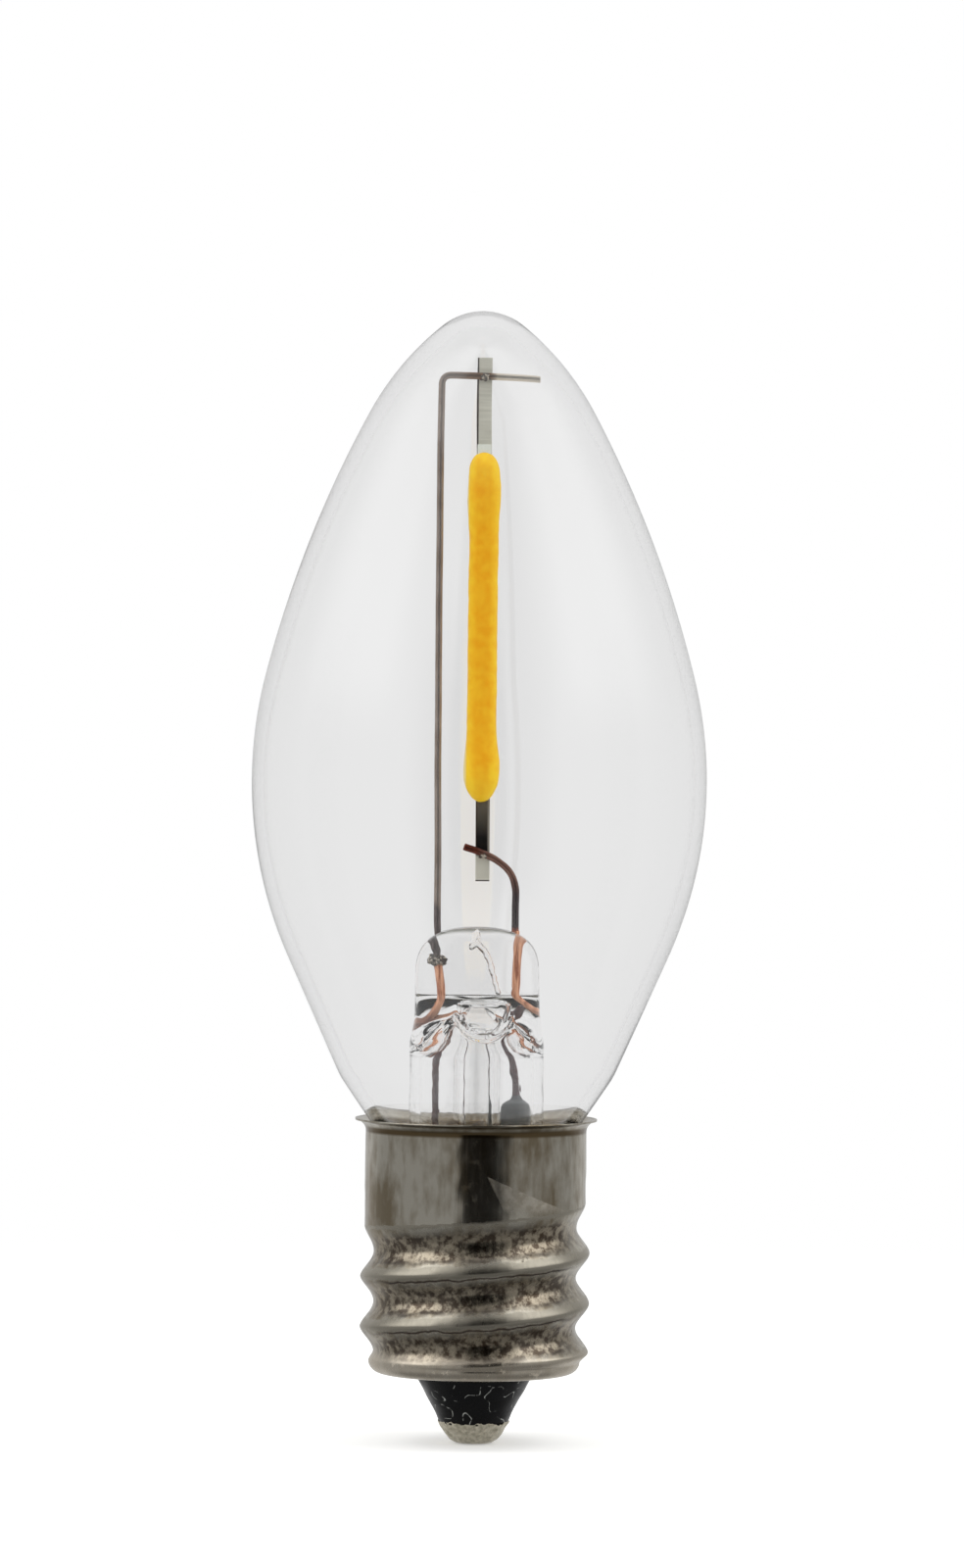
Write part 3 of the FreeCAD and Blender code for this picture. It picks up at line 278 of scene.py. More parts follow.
# Matt white paper: it keeps the bulb's soft shadow, and fades into the white round it
paper, matt, place = new_material("matt_white_paper", "BsdfDiffuse")
feed(matt, {"Color": "EDEDEB"})
flat_place = add("VectorMath", {0: place, 1: (1.0, 1.0, 0.0)}, operation="MULTIPLY").outputs[0]
reach = add("VectorMath", {0: flat_place}, operation="LENGTH").outputs["Value"]
rays = add("LightPath", tree=matt.id_data).outputs
fading = calc("MAXIMUM", soft_ramp(reach, *FLOOR_FADE), rays["Is Glossy Ray"])
glow = add("Emission", {"Strength": times(rays["Is Camera Ray"], FLOOR_LIFT)}).outputs[0]
bright = add("AddShader", {0: matt.outputs[0], 1: glow}).outputs[0]
clear = add("BsdfTransparent", tree=matt.id_data).outputs[0]
faded = add("MixShader", {0: fading, 1: bright, 2: clear}).outputs[0]
add("OutputMaterial", {"Surface": faded})
dress(floor, paper)


# Glass envelope. One thin bubble of soda-lime glass, blown in a mould: a round tip, a candle's
# flank, and a cone down to the neck that is sealed to the stem inside the screw shell.

BULB_HEIGHT = 57.15
BULB_RADIUS = 11.5
WIDEST_HEIGHT = 33.4
CROWN_RADIUS, CROWN_SPAN = 3.25, math.radians(38.8)
OGIVE_RADIUS, FLANK_RADIUS, BELLY_RADIUS = 14.4, 58.0, 21.8
CONE_LEAN = math.radians(24.1)
CONE_END_HEIGHT = 18.5
NECK_RADIUS, NECK_TOP, NECK_END = 4.95, 15.6, 12.45
CONE_BEND, NECK_BEND = 4.0, 1.2
WALL, TIP_WALL, TIP_START = 0.65, 0.85, 50.0
GLASS_STEP = 0.27


def arc(centre, radius, start, end):
    """Points of a circle's arc in the (radius, height) plane from one angle to another."""
    angle = np.linspace(start, end, 160)[:, None]
    return centre + radius * np.concatenate([np.cos(angle), np.sin(angle)], 1)


def rounded_corner(before, corner, after, radius):
    """Tangent arc of the given radius in the corner between two straight runs."""
    arriving = (corner - before) / np.linalg.norm(corner - before)
    leaving = (after - corner) / np.linalg.norm(after - corner)
    half_turn = math.acos(np.clip(arriving @ leaving, -1, 1)) / 2
    first = corner - arriving * radius * math.tan(half_turn)
    centre = corner + (leaving - arriving) / np.linalg.norm(leaving - arriving) * radius / math.cos(half_turn)
    last = corner + leaving * radius * math.tan(half_turn)
    start = math.atan2(*(first - centre)[::-1])
    sweep = math.atan2(*(last - centre)[::-1]) - start
    sweep = (sweep + math.pi) % (2 * math.pi) - math.pi
    return arc(centre, radius, start, start + sweep)


def evenly(path, step):
    """The same path with its points a step apart along its length."""
    length = np.concatenate([[0], np.cumsum(np.linalg.norm(np.diff(path, axis=0), axis=1))])
    at = np.linspace(0, length[-1], max(2, round(length[-1] / step) + 1))
    return np.stack([np.interp(at, length, path[:, i]) for i in range(path.shape[1])], -1)


def waves(points, size, seed, count=16):
    """Soft unevenness, about -1 to 1: a sum of plane waves of about that length, all directions."""
    rng = np.random.default_rng(seed)
    way = rng.normal(size=(count, 3))
    way *= (rng.uniform(0.6, 1.6, count) / size / np.linalg.norm(way, axis=1))[:, None]
    start = rng.uniform(0, 2 * np.pi, count)
    return np.cos(points @ way.T * 2 * np.pi + start).sum(-1) / math.sqrt(count * 2)


def direction(angle):
    """Unit step at an angle from the radius."""
    return np.array([math.cos(angle), math.sin(angle)])


shoulder = math.pi / 2 - CROWN_SPAN
crown = np.array([0, BULB_HEIGHT - CROWN_RADIUS])
ogive = crown - direction(shoulder) * (OGIVE_RADIUS - CROWN_RADIUS)
belly = np.array([BULB_RADIUS - BELLY_RADIUS, WIDEST_HEIGHT])
apart = np.linalg.norm(belly - ogive)
to_ogive, to_belly = FLANK_RADIUS - OGIVE_RADIUS, FLANK_RADIUS - BELLY_RADIUS
along = (apart ** 2 + to_ogive ** 2 - to_belly ** 2) / (2 * apart)
line = (belly - ogive) / apart
flank = ogive + line * along + np.array([line[1], -line[0]]) * math.sqrt(to_ogive ** 2 - along ** 2)
ogive_end = math.atan2(*(ogive - flank)[::-1])
belly_start = math.atan2(*(belly - flank)[::-1])
belly_end = belly + direction(-CONE_LEAN) * BELLY_RADIUS
cone_end = belly_end - np.array([math.tan(CONE_LEAN), 1]) * (belly_end[1] - CONE_END_HEIGHT)
neck_top = np.array([NECK_RADIUS, NECK_TOP])
neck_end = np.array([NECK_RADIUS, NECK_END])
outline = np.concatenate([
    neck_end[None],
    rounded_corner(neck_end, neck_top, cone_end, NECK_BEND),
    rounded_corner(neck_top, cone_end, belly_end, CONE_BEND),
    arc(belly, BELLY_RADIUS, -CONE_LEAN, belly_start),
    arc(flank, FLANK_RADIUS, belly_start, ogive_end),
    arc(ogive, OGIVE_RADIUS, ogive_end, shoulder),
    arc(crown, CROWN_RADIUS, shoulder, math.pi / 2),
])
outline = evenly(outline, GLASS_STEP)
slope = np.gradient(outline, axis=0)
slope /= np.linalg.norm(slope, axis=1)[:, None]
outward = np.stack([slope[:, 1], -slope[:, 0]], -1)
tip_share = np.clip((outline[:, 1:] - TIP_START) / (BULB_HEIGHT - TIP_START), 0, 1) ** 2
lining = outline - outward * (WALL + (TIP_WALL - WALL) * tip_share)
lining[:, 0] = np.maximum(lining[:, 0], 0)
lining[-1] = (0, BULB_HEIGHT - TIP_WALL)
bubble = turned(np.concatenate([lining[::-1], outline]), 200)
side_way = bubble * [1, 1, 0] / np.maximum(np.linalg.norm(bubble[..., :2], axis=-1), 1e-6)[..., None]
inner_rows = len(lining)
bubble[:inner_rows] += side_way[:inner_rows] * (waves(bubble[:inner_rows], 11, 3) * 0.012)[..., None]
bubble[inner_rows:] -= side_way[inner_rows:] * (0.012 + waves(bubble[inner_rows:], 15, 4) * 0.006)[..., None]
envelope = skin("envelope", bubble)
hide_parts("glass_envelope")
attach(envelope, "root")


def per(size):
    """Pattern cells in a metre, from the size of one in millimetres."""
    return 1 / (size * MM)


def noise(place, size, detail, roughness=0.5):
    """Cloudy pattern from 0 to 1, its largest clouds about that many millimetres wide."""
    sockets = {"Vector": place, "Scale": per(size), "Detail": detail, "Roughness": roughness}
    return add("TexNoise", sockets).outputs[0]


def stretched(place, scale):
    """The place with its axes scaled: a pattern grows longer along an axis with a small scale."""
    return add("Mapping", {0: place, "Scale": scale}).outputs[0]


def finish(shader, sockets, height, strength, depth, tint=None):
    """Close a material: its shader's inputs, a bump that many millimetres deep, and the output.

    Clear glass is given a tint: lamps and soft light pass it, so its shadow is as faint as real.
    """
    bump = add("Bump", {"Height": height, "Strength": strength, "Distance": depth * MM})
    feed(shader, {**sockets, "Normal": bump.outputs[0]})
    surface = shader.outputs[0]
    if tint:
        rays = add("LightPath", tree=shader.id_data).outputs
        passing = calc("MAXIMUM", rays["Is Shadow Ray"], rays["Is Diffuse Ray"])
        clear = add("BsdfTransparent", {"Color": tint}, shader.id_data).outputs[0]
        surface = add("MixShader", {0: passing, 1: surface, 2: clear}).outputs[0]
    add("OutputMaterial", {"Surface": surface})


# Soda-lime glass, blown: fire-polished, so clear and smooth, with faint waves from the mould
GLASS_IOR = 1.5
GLASS = {"Base Color": "FFFFFF", "Transmission Weight": 1.0, "IOR": GLASS_IOR, "Roughness": 0.0}

blown, shader, place = new_material("blown_soda_lime_glass")
mould_waves = noise(stretched(place, (1.0, 1.0, 0.35)), 5.0, 1.0)
finish(shader, GLASS, mould_waves, 0.2, 0.04, "F6F7F6")
dress(envelope, blown)


# Stem. Lead-free soft glass: a flared tube whose top was pinched flat on the wires while hot,
# then blown through at the front, which left a cup with a thick rounded rim.

STEM_RADIUS, STEM_BORE = 3.4, 2.85
FLARE_RADIUS, FLARE_BOTTOM, FLARE_TOP, FLARE_WALL = 4.8, 11.9, 14.9, 1.1
PRESS_TOP = 26.1
SIDE_LINE = ([20.3, 21.6, 23.6], [3.4, 3.17, 3.13])
FRONT_LINE = ([19.8, 20.3, 20.8, 21.3, 22.6, 22.7], [3.4, 3.34, 3.1, 2.7, 1.42, 1.4])
ROOF_TOP = 22.1
ROOF_SIDE_LINE = ([19.9, 20.5, 21.05, 21.7, 22.1], [2.85, 2.5, 1.9, 1.0, 0.3])
ROOF_FRONT_LINE = ([19.9, 20.4, 20.8, 21.2, 21.6, 21.9, 22.1], [2.85, 2.72, 2.4, 1.95, 1.35, 0.8, 0.1])
CUP_ACROSS, CUP_TOP, CUP_HALF_WIDTH, CUP_DROP, CUP_DEPTH, CUP_SKIN = 0.35, 22.36, 1.28, 1.5, 2.2, 0.13
STEM_AROUND = 256


def fade(start, end, at):
    """Smooth step from 0 at start to 1 at end."""
    share = np.clip((at - start) / (end - start), 0, 1)
    return share * share * (3 - 2 * share)


def dome(start, top, power, at):
    """Share of the full width left at a height: 1 below start, then down to 0 like a superellipse."""
    share = np.clip((at - start) / (top - start), 0, 1)
    return (1 - share ** power) ** (1 / power)


def flattened(half_width, half_depth, power, height, around):
    """Rows of superellipses: |x/width|^power + |y/depth|^power = 1 at each height."""
    angle = about(around) + np.pi / around
    cos, sin = np.cos(angle), np.sin(angle)
    bend = 2 / power[:, None]
    across = half_width[:, None] * np.sign(cos) * np.abs(cos) ** bend
    depth = half_depth[:, None] * np.sign(sin) * np.abs(sin) ** bend
    return np.stack([across, depth, np.broadcast_to(height[:, None], across.shape)], -1)


def eased(at, line, softness):
    """Straight runs between the line's (heights, values), each corner softened."""
    offsets = np.linspace(-softness, softness, 11)
    return sum(np.interp(at + offset, *line) for offset in offsets) / len(offsets)


quarter = np.linspace(0, math.pi / 2, 60)


def flared(height, extra):
    """What the flare adds to a tube's radius: extra at its bottom, nothing from its top on."""
    return extra * np.clip((FLARE_TOP - height) / (FLARE_TOP - FLARE_BOTTOM), 0, 1) ** 2


up_outside = np.concatenate([np.linspace(FLARE_BOTTOM, 19.2, 60), np.linspace(19.25, 23.4, 110),
                             23.4 + (PRESS_TOP - 23.4) * np.sin(quarter)[1:]])
flare = flared(up_outside, FLARE_RADIUS - STEM_RADIUS)
half_width = (eased(up_outside, SIDE_LINE, 0.3) + flare) * dome(23.6, PRESS_TOP, 2.6, up_outside)
half_depth = (eased(up_outside, FRONT_LINE, 0.25) + flare) * dome(25.35, PRESS_TOP, 2.2, up_outside)
outside = flattened(half_width, half_depth, 2 + 1.6 * fade(19.6, 21.5, up_outside), up_outside, STEM_AROUND)
up_inside = np.concatenate([np.linspace(FLARE_BOTTOM, 20.0, 30),
                            20.0 + (ROOF_TOP - 20.0) * np.sin(quarter)[1:]])
flare = flared(up_inside, FLARE_RADIUS - FLARE_WALL - STEM_BORE)
half_width = eased(up_inside, ROOF_SIDE_LINE, 0.2) + flare
half_depth = eased(up_inside, ROOF_FRONT_LINE, 0.2) + flare
inside = flattened(half_width, half_depth, 2 + 0.8 * fade(20.4, 21.7, up_inside), up_inside, STEM_AROUND)
across = (outside[..., 0] - CUP_ACROSS) / CUP_HALF_WIDTH
down = (CUP_TOP - outside[..., 2]) / CUP_DROP
from_cup = np.hypot(across, down)
scoop = CUP_DEPTH * np.sqrt(np.clip(1 - from_cup ** 2, 0, 1)) * fade(0.0, 0.06, down)
lip = 0.22 * np.exp(-((from_cup - 1.14) / 0.1) ** 2) * fade(0.2, 0.6, down)
hollow_front = eased(outside[..., 2], ROOF_FRONT_LINE, 0.12) * (outside[..., 2] < ROOF_TOP) + CUP_SKIN
scooped = np.maximum(outside[..., 1], np.minimum(outside[..., 1] + scoop, -hollow_front)) - lip
outside[..., 1] = np.where(outside[..., 1] < 0, scooped, outside[..., 1])
pressed = np.concatenate([inside[::-1], outside])
pressed += (waves(pressed, 2.6, 8) * 0.03 * fade(19.0, 21.0, pressed[..., 2]))[..., None] * [0.5, 1.0, 0.3]
stem = skin("stem", pressed)
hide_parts("stem_glass")
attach(stem, "root")

# Soft glass, pressed hot: clear but with streaks from the pliers and a few seeds
worked, shader, place = new_material("pressed_soft_glass")
seeds = add("TexVoronoi", {"Vector": place, "Scale": per(1.1)}).outputs["Distance"]
height = calc("ADD", ramp(seeds, 0.0, 0.16, 1.0, 0.0), noise(place, 0.9, 2.0))
finish(shader, {**GLASS, "Base Color": "FEFEFE"}, height, 0.3, 0.03, "F6F7F6")
dress(stem, worked)


# Air line. A hair of air that was caught in the hot press: it hooks over at its upper end and
# runs down to the cup. Light bends round it as round a bubble.

ACROSS_PLANE = np.array([0.0, 1.0, 0.0])


def swept(path, radius, beside, sides=24):
    """Rows of a round bar along a path: rings square to the path, from beside and the tangent."""
    tangent = np.gradient(path, axis=0)
    tangent /= np.linalg.norm(tangent, axis=1)[:, None]
    first = np.cross(beside, tangent)
    first /= np.linalg.norm(first, axis=1)[:, None]
    second = np.cross(tangent, first)
    angle = about(sides)[:, None]
    ring = first[:, None] * np.cos(angle) + second[:, None] * np.sin(angle)
    return path[:, None] + ring * np.broadcast_to(radius, len(path))[:, None, None]


air_path = evenly(np.array([
    (-0.42, 0.0, 24.98), (-0.27, 0.0, 25.17), (-0.02, 0.0, 25.25), (0.24, 0.0, 25.05), (0.47, 0.0, 24.72),
    (0.64, 0.0, 24.34), (0.82, 0.0, 23.7), (0.97, 0.0, 23.1), (1.1, 0.0, 22.66)]), 0.05)
for smoothing in range(3):
    air_path[1:-1] = (air_path[:-2] + air_path[1:-1] * 2 + air_path[2:]) / 4
share = np.linspace(0, 1, len(air_path))
round_ends = dome(0, 1, 2.0, 1 - np.clip(share / 0.06, 0, 1)) * dome(0.9, 1, 2.0, share)
air_rows = swept(air_path, 0.18 * (1 - 0.35 * share) * round_ends, ACROSS_PLANE, 16)
air_rows += (waves(air_rows, 0.35, 15) * 0.02)[..., None]
air_line = skin("air_line", air_rows)
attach(air_line, "root")

# Trapped air: clear, less dense than the glass round it, so its edges turn dark
trapped_air, shader, place = new_material("trapped_air", "BsdfGlass")
air_inputs = {"Color": "FFFFFF", "Roughness": 0.0, "IOR": 1 / GLASS_IOR}
finish(shader, air_inputs, noise(place, 0.2, 2.0), 0.4, 0.03, "FFFFFF")
dress(air_line, trapped_air)


# Exhaust tube. A thin glass tube through which the bulb was pumped, then drawn off to a tip.

TUBE_RADIUS, TUBE_BORE, TUBE_TIP, TUBE_SHOULDER, TUBE_TOP = 1.18, 0.62, 8.4, 9.7, 20.85

tube_rise = np.linspace(TUBE_SHOULDER, TUBE_TOP, 60)[1:, None]
tip = np.stack([TUBE_RADIUS * np.sin(quarter),
                TUBE_TIP + (TUBE_SHOULDER - TUBE_TIP) * (1 - np.cos(quarter))], -1)
tube_outside, tube_inside = [tube_rise * [0, 1] + [radius, 0] for radius in (TUBE_RADIUS, TUBE_BORE)]
bore_end = np.stack([TUBE_BORE * np.cos(quarter), TUBE_SHOULDER - 0.6 * np.sin(quarter)], -1)
tube_rows = turned(np.concatenate([tip, tube_outside, tube_inside[::-1], bore_end]), 72)
tube_rows[..., :2] *= (1 + 0.02 * waves(tube_rows, 5, 12))[..., None]
tube = skin("pump_tube", tube_rows)
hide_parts("exhaust_tube")
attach(tube, "root")
dress(tube, worked)


# Support wire and short lead. Nickel-plated wire, darkened by the flame that sealed the stem:
# the support wire is bent over at its top, and both cross the filament's tabs, welded on.

WIRE_RADIUS = 0.175


def route(corners, bend, step=0.06):
    """Straight runs with a parabola in each corner, its ends a bend away, then spaced evenly."""
    corners = np.array(corners, float)
    pieces = [corners[:1]]
    for before, corner, after in zip(corners, corners[1:], corners[2:]):
        back, on = before - corner, after - corner
        reach = min(bend, 0.45 * np.linalg.norm(back), 0.45 * np.linalg.norm(on))
        first = corner + back / np.linalg.norm(back) * reach
        last = corner + on / np.linalg.norm(on) * reach
        share = np.linspace(0, 1, 24)[:, None]
        pieces.append((1 - share) ** 2 * first + 2 * share * (1 - share) * corner + share ** 2 * last)
    pieces.append(corners[-1:])
    return evenly(np.concatenate(pieces), step)


def through(points, step=0.06):
    """Smooth line through all the points, a cubic piece between each two, then spaced evenly."""
    points = np.array([(across, 0, up) for across, up in points])
    ends = np.concatenate([2 * points[:1] - points[1:2], points, 2 * points[-1:] - points[-2:-1]])
    share = np.linspace(0, 1, 24, endpoint=False)[:, None]
    pieces = [b + (c - a) * share / 2 + (a - 2.5 * b + 2 * c - d / 2) * share ** 2
              + (1.5 * b - a / 2 - 1.5 * c + d / 2) * share ** 3
              for a, b, c, d in zip(ends, ends[1:], ends[2:], ends[3:])]
    return evenly(np.concatenate(pieces + [points[-1:]]), step)


def cut_ends(path, radius, burr=0.03):
    """The path and radius with a small bevel and a flat cut at both ends."""
    start, end = path[:1], path[-1:]
    into, back = path[1:2] - start, path[-2:-1] - end
    into *= burr / np.linalg.norm(into)
    back *= burr / np.linalg.norm(back)
    starting, ending = [start, start + into * 0.02, start + into], [end + back, end + back * 0.02, end]
    path = np.concatenate([*starting, path[1:-1], *ending])
    radius = np.full(len(path), radius)
    radius[[1, -2]] *= 0.86
    radius[[0, -1]] = 0
    return path, radius


KNOT = (-1.92, 24.36)

mast_path = route([(KNOT[0], 0, KNOT[1]), (-2.04, 0, 26.1), (-2.04, 0, 31.0), (-2.1, 0, 40.0),
                   (-2.11, 0, 48.0), (-2.07, 0, 53.9), (2.94, 0, 53.74)], 0.5)
mast_path, mast_radius = cut_ends(mast_path, WIRE_RADIUS)
in_press = 1 - fade(24.5, 26.2, mast_path[:, 2])
mast_rows = swept(mast_path, mast_radius * (1 - 0.12 * in_press), ACROSS_PLANE)
mast_rows += (waves(mast_rows, 0.5, 21) * 0.05 * in_press[:, None])[..., None] * [1.0, 0.6, 0.2]
mast_rows += (waves(mast_rows, 5.0, 22) * 0.01)[..., None] * [1.0, 0.0, 0.3]
mast = skin("mast_wire", mast_rows)
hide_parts("support_wire")
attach(mast, "root")

lead_path = through([(1.87, 25.5), (1.87, 26.5), (1.88, 27.54), (1.83, 28.1), (1.68, 28.65), (1.35, 29.09),
                     (0.91, 29.42), (0.41, 29.69), (-0.14, 29.91), (-0.72, 30.12)])
lead_path, lead_radius = cut_ends(lead_path, WIRE_RADIUS)
crossing = np.exp(-((lead_path[:, 0] - 0.12) / 0.3) ** 2) * (lead_path[:, 2] > 29)
lead_rows = swept(lead_path, lead_radius * (1.03 - 0.06 * crossing), ACROSS_PLANE)
lead_rows += (waves(lead_rows, 1.4, 23) * 0.012)[..., None] * [1.0, 0.3, 1.0]
lead = skin("short_lead_wire", lead_rows)
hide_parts("short_lead")
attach(lead, "root")


def coated(tone, *coats):
    """The tone under coats of others, each given as its share and its tone."""
    for share, coat in coats:
        tone = mix(share, tone, coat)
    return tone


# Nickel-plated wire, drawn then flame-darkened: satin grey-brown, lengthwise draw lines,
# blued and browned in patches, with a cleaner pale end past the weld
oxidised, shader, place = new_material("flame_darkened_nickel_wire")
spot = parts(place)
past_weld = ramp(spot["X"], 0.35 * MM, 0.75 * MM)
on_arm = calc("GREATER_THAN", spot["Z"], 50 * MM)
near_weld = times(ramp(spot["X"], -1.9 * MM, 0.1 * MM), on_arm, calc("SUBTRACT", 1.0, past_weld))
flame_mark = soft_ramp(calc("ADD", spot["X"], spot["Z"]), 24.9 * MM, 25.35 * MM, 1.0, 0.0)
wire_tone = coated(mix(ramp(noise(place, 1.8, 3.0), 0.38, 0.62), "8A7A6E", "A2948A"),
                   (times(past_weld, on_arm), "E6DCCB"), (near_weld, "80624A"), (flame_mark, "6A5E5C"))
lines = noise(stretched(place, (1.0, 1.0, 0.03)), 0.06, 2.0)
dullness = ramp(lines, 0.3, 0.7, 0.28, 0.5)
finish(shader, {"Base Color": wire_tone, "Roughness": dullness, "Metallic": 1.0}, lines, 0.3, 0.01)
dress(mast, oxidised)

# The short lead is the same wire after a hotter flame: red-brown at its cut end and over the
# weld, rosy in the bend, nearly black where it comes out of the glass
copper_oxide, shader, place = new_material("heat_reddened_wire")
spot = parts(place)
patches = noise(place, 0.7, 3.0)
low_down = soft_ramp(spot["Z"], 29.0 * MM, 27.4 * MM)
at_tip = ramp(spot["X"], 0.35 * MM, -0.1 * MM)
in_glass = ramp(spot["Z"], 26.1 * MM, 25.9 * MM)
wire_tone = coated(mix(patches, "6E4A44", "9A7A6C"), (low_down, "3E3336"), (at_tip, "6E3A2E"),
                   (in_glass, "A5604A"))
finish(shader, {"Base Color": wire_tone, "Metallic": 0.85, "Roughness": 0.36}, patches, 0.3, 0.02)
dress(lead, copper_oxide)


# Seal wires. Copper-clad nickel iron, which expands as soft glass does: the glass wets its red
# oxide and seals. The left one is welded to the support wire in a dark knot inside the press.

SEAL_RADIUS = 0.19

left_path = through([(KNOT[0], KNOT[1] - 0.1), (-1.84, 23.6), (-1.77, 23.0), (-1.77, 22.3), (-1.94, 21.4),
                     (-2.2, 20.5), (-2.3, 20.1), (-2.46, 19.8)])
right_path = through([(1.9, 25.9), (1.9, 25.2), (1.91, 24.5), (1.88, 23.4), (1.86, 22.7), (2.0, 22.35),
                      (2.35, 21.8), (2.7, 21.2), (2.85, 20.8)])
seal_wires = []
for name, path, taper_start, taper_end, seed in (("left_seal", left_path, 21.2, 20.1, 31),
                                                 ("right_seal", right_path, 22.6, 21.0, 32)):
    path, radius = cut_ends(path, SEAL_RADIUS)
    rows = swept(path, radius * (1 - 0.35 * fade(taper_start, taper_end, path[:, 2])), ACROSS_PLANE)
    rows += (waves(rows, 1.1, seed) * 0.012)[..., None] * [1.0, 0.4, 0.2]
    seal_wires.append(skin(name, rows))

# Copper with its red oxide under glass: orange, silky, with darker draw lines along it
sealed_copper, shader, place = new_material("oxidised_copper_cladding")
lines = noise(stretched(place, (1.0, 1.0, 0.12)), 0.14, 3.0)
height = parts(place)["Z"]
copper_tone = coated(mix(ramp(lines, 0.42, 0.6), "EFAE8A", "A8603E"),
                     (ramp(height, 21.9 * MM, 20.9 * MM, 0.0, 0.85), "6B4438"))
finish(shader, {"Base Color": copper_tone, "Metallic": 0.4, "Roughness": 0.34}, lines, 0.25, 0.01)
for wire, node in zip(seal_wires, ("left_seal_wire", "right_seal_wire")):
    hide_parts(node)
    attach(wire, "root")
    dress(wire, sealed_copper)


# Outer leads. Tinned copper wire, dark from the flame, welded to the seal wires' feet: one goes
# to the screw shell's rim, the other carries the resistor.

LEAD_RADIUS = 0.17

side_path = route([(-2.12, 0, 21.05), (-2.06, 0, 20.4), (-2.0, 0, 20.0), (-2.1, 0, 19.2), (-2.09, 0, 10.7),
                   (-2.57, 4.45, 10.7), (-2.57, 4.45, 14.6)], 0.45)
side_path, side_radius = cut_ends(side_path, LEAD_RADIUS)
side_radius = side_radius * (1 - 0.4 * fade(20.2, 21.0, side_path[:, 2]))
side_rows = swept(side_path, side_radius, np.array([1.0, 0.0, 0.0]))
side_rows += (waves(side_rows, 1.6, 41) * 0.014)[..., None] * [1.0, 0.2, 0.0]
side_wire = skin("side_lead_wire", side_rows)
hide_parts("side_lead")
drop_path = route([(2.1, 0, 21.75), (1.76, 0, 20.9), (1.72, 0, 20.2), (1.82, 0, 19.4), (1.93, 0, 18.6),
                   (2.02, 0, 17.6)], 0.4)
drop_path, drop_radius = cut_ends(drop_path, LEAD_RADIUS)
drop_rows = swept(drop_path, drop_radius * (1 + 0.12 * np.sin(drop_path[:, 2] * 5.1)), ACROSS_PLANE)
drop_rows += (waves(drop_rows, 0.7, 42) * 0.03)[..., None] * [1.0, 0.4, 0.0]
drop_wire = skin("resistor_lead_wire", drop_rows)
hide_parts("resistor_lead")

# Tinned copper, flame-darkened: plum brown with bluish grey lights and a rough, uneven skin
plum_wire, shader, place = new_material("darkened_tinned_copper")
patches = noise(place, 0.5, 3.0)
plum_tone = mix(ramp(patches, 0.4, 0.62), "5E3A3A", "6E5C60")
finish(shader, {"Base Color": plum_tone, "Metallic": 0.6, "Roughness": 0.45}, patches, 0.4, 0.03)
for wire in (side_wire, drop_wire):
    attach(wire, "root")
    dress(wire, plum_wire)
for name in ("link_lead", "centre_lead"):
    dress(nodes[name], plum_wire)


# Weld drops. Where a wire crosses another wire or a tab, a spot of it melted: a lumpy dark ball
# in the press and a small scorched nugget on each tab.

def drop(centre, size, roughness, seed):
    """Rows of a lumpy ball: a sphere stretched to size, its radius changed by soft waves."""
    latitude = np.linspace(-math.pi / 2, math.pi / 2, 28)[:, None]
    ball = carried(np.cos(latitude), np.sin(latitude), about(36))
    ball *= (1 + roughness * waves(ball, 0.9, seed))[..., None]
    return np.array(centre) + ball * size


knot_ball = skin("weld_knot", drop((-1.93, 0.0, 24.4), (0.43, 0.33, 0.3), 0.16, 51))
upper_nugget = skin("upper_weld", drop((0.13, -0.02, 53.79), (0.3, 0.22, 0.2), 0.25, 52))
lower_nugget = skin("lower_weld", drop((0.24, -0.03, 29.66), (0.22, 0.2, 0.16), 0.3, 53))

# Melted and scorched wire metal: black-brown scale with bright bare spots
scale_metal, shader, place = new_material("scorched_weld_metal")
flakes = noise(place, 0.16, 4.0)
bare = ramp(flakes, 0.5, 0.56)
weld_tone = mix(bare, "3A3029", "D8CEC0")
finish(shader, {"Base Color": weld_tone, "Metallic": bare, "Roughness": 0.38}, flakes, 0.6, 0.03)
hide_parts("weld_beads")
for piece in (knot_ball, upper_nugget, lower_nugget):
    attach(piece, "root")
    dress(piece, scale_metal)


# Tabs. Stamped strips of nickel iron, cemented to the ends of the filament's ceramic strip.

FILAMENT_X = 0.12
TAB_FRONT, TAB_BACK = 0.135, 0.285


def plate(middle_x, bottom, top, half_width, lean):
    """Rows of a thin upright plate with soft edges: a flat superellipse carried up, bowed by lean."""
    height = np.concatenate([[bottom] * 2, np.linspace(bottom + 0.02, top - 0.02, 60), [top] * 2])
    full = np.ones(len(height))
    full[[0, -1]] = 0
    full[[1, -2]] = 0.985
    power = np.full(len(height), 12.0)
    rows = flattened(full * half_width, full * (TAB_BACK - TAB_FRONT) / 2, power, height, 64)
    rows[..., 1] += (TAB_FRONT + TAB_BACK) / 2
    rows[..., 0] += middle_x + lean * np.sin((height - bottom) / (top - bottom) * math.pi)[:, None]
    return rows


upper_plate = skin("upper_tab_plate", plate(0.12, 49.7, 54.76, 0.38, -0.03))
lower_plate = skin("lower_tab_plate", plate(0.2, 28.38, 33.3, 0.35, 0.0))

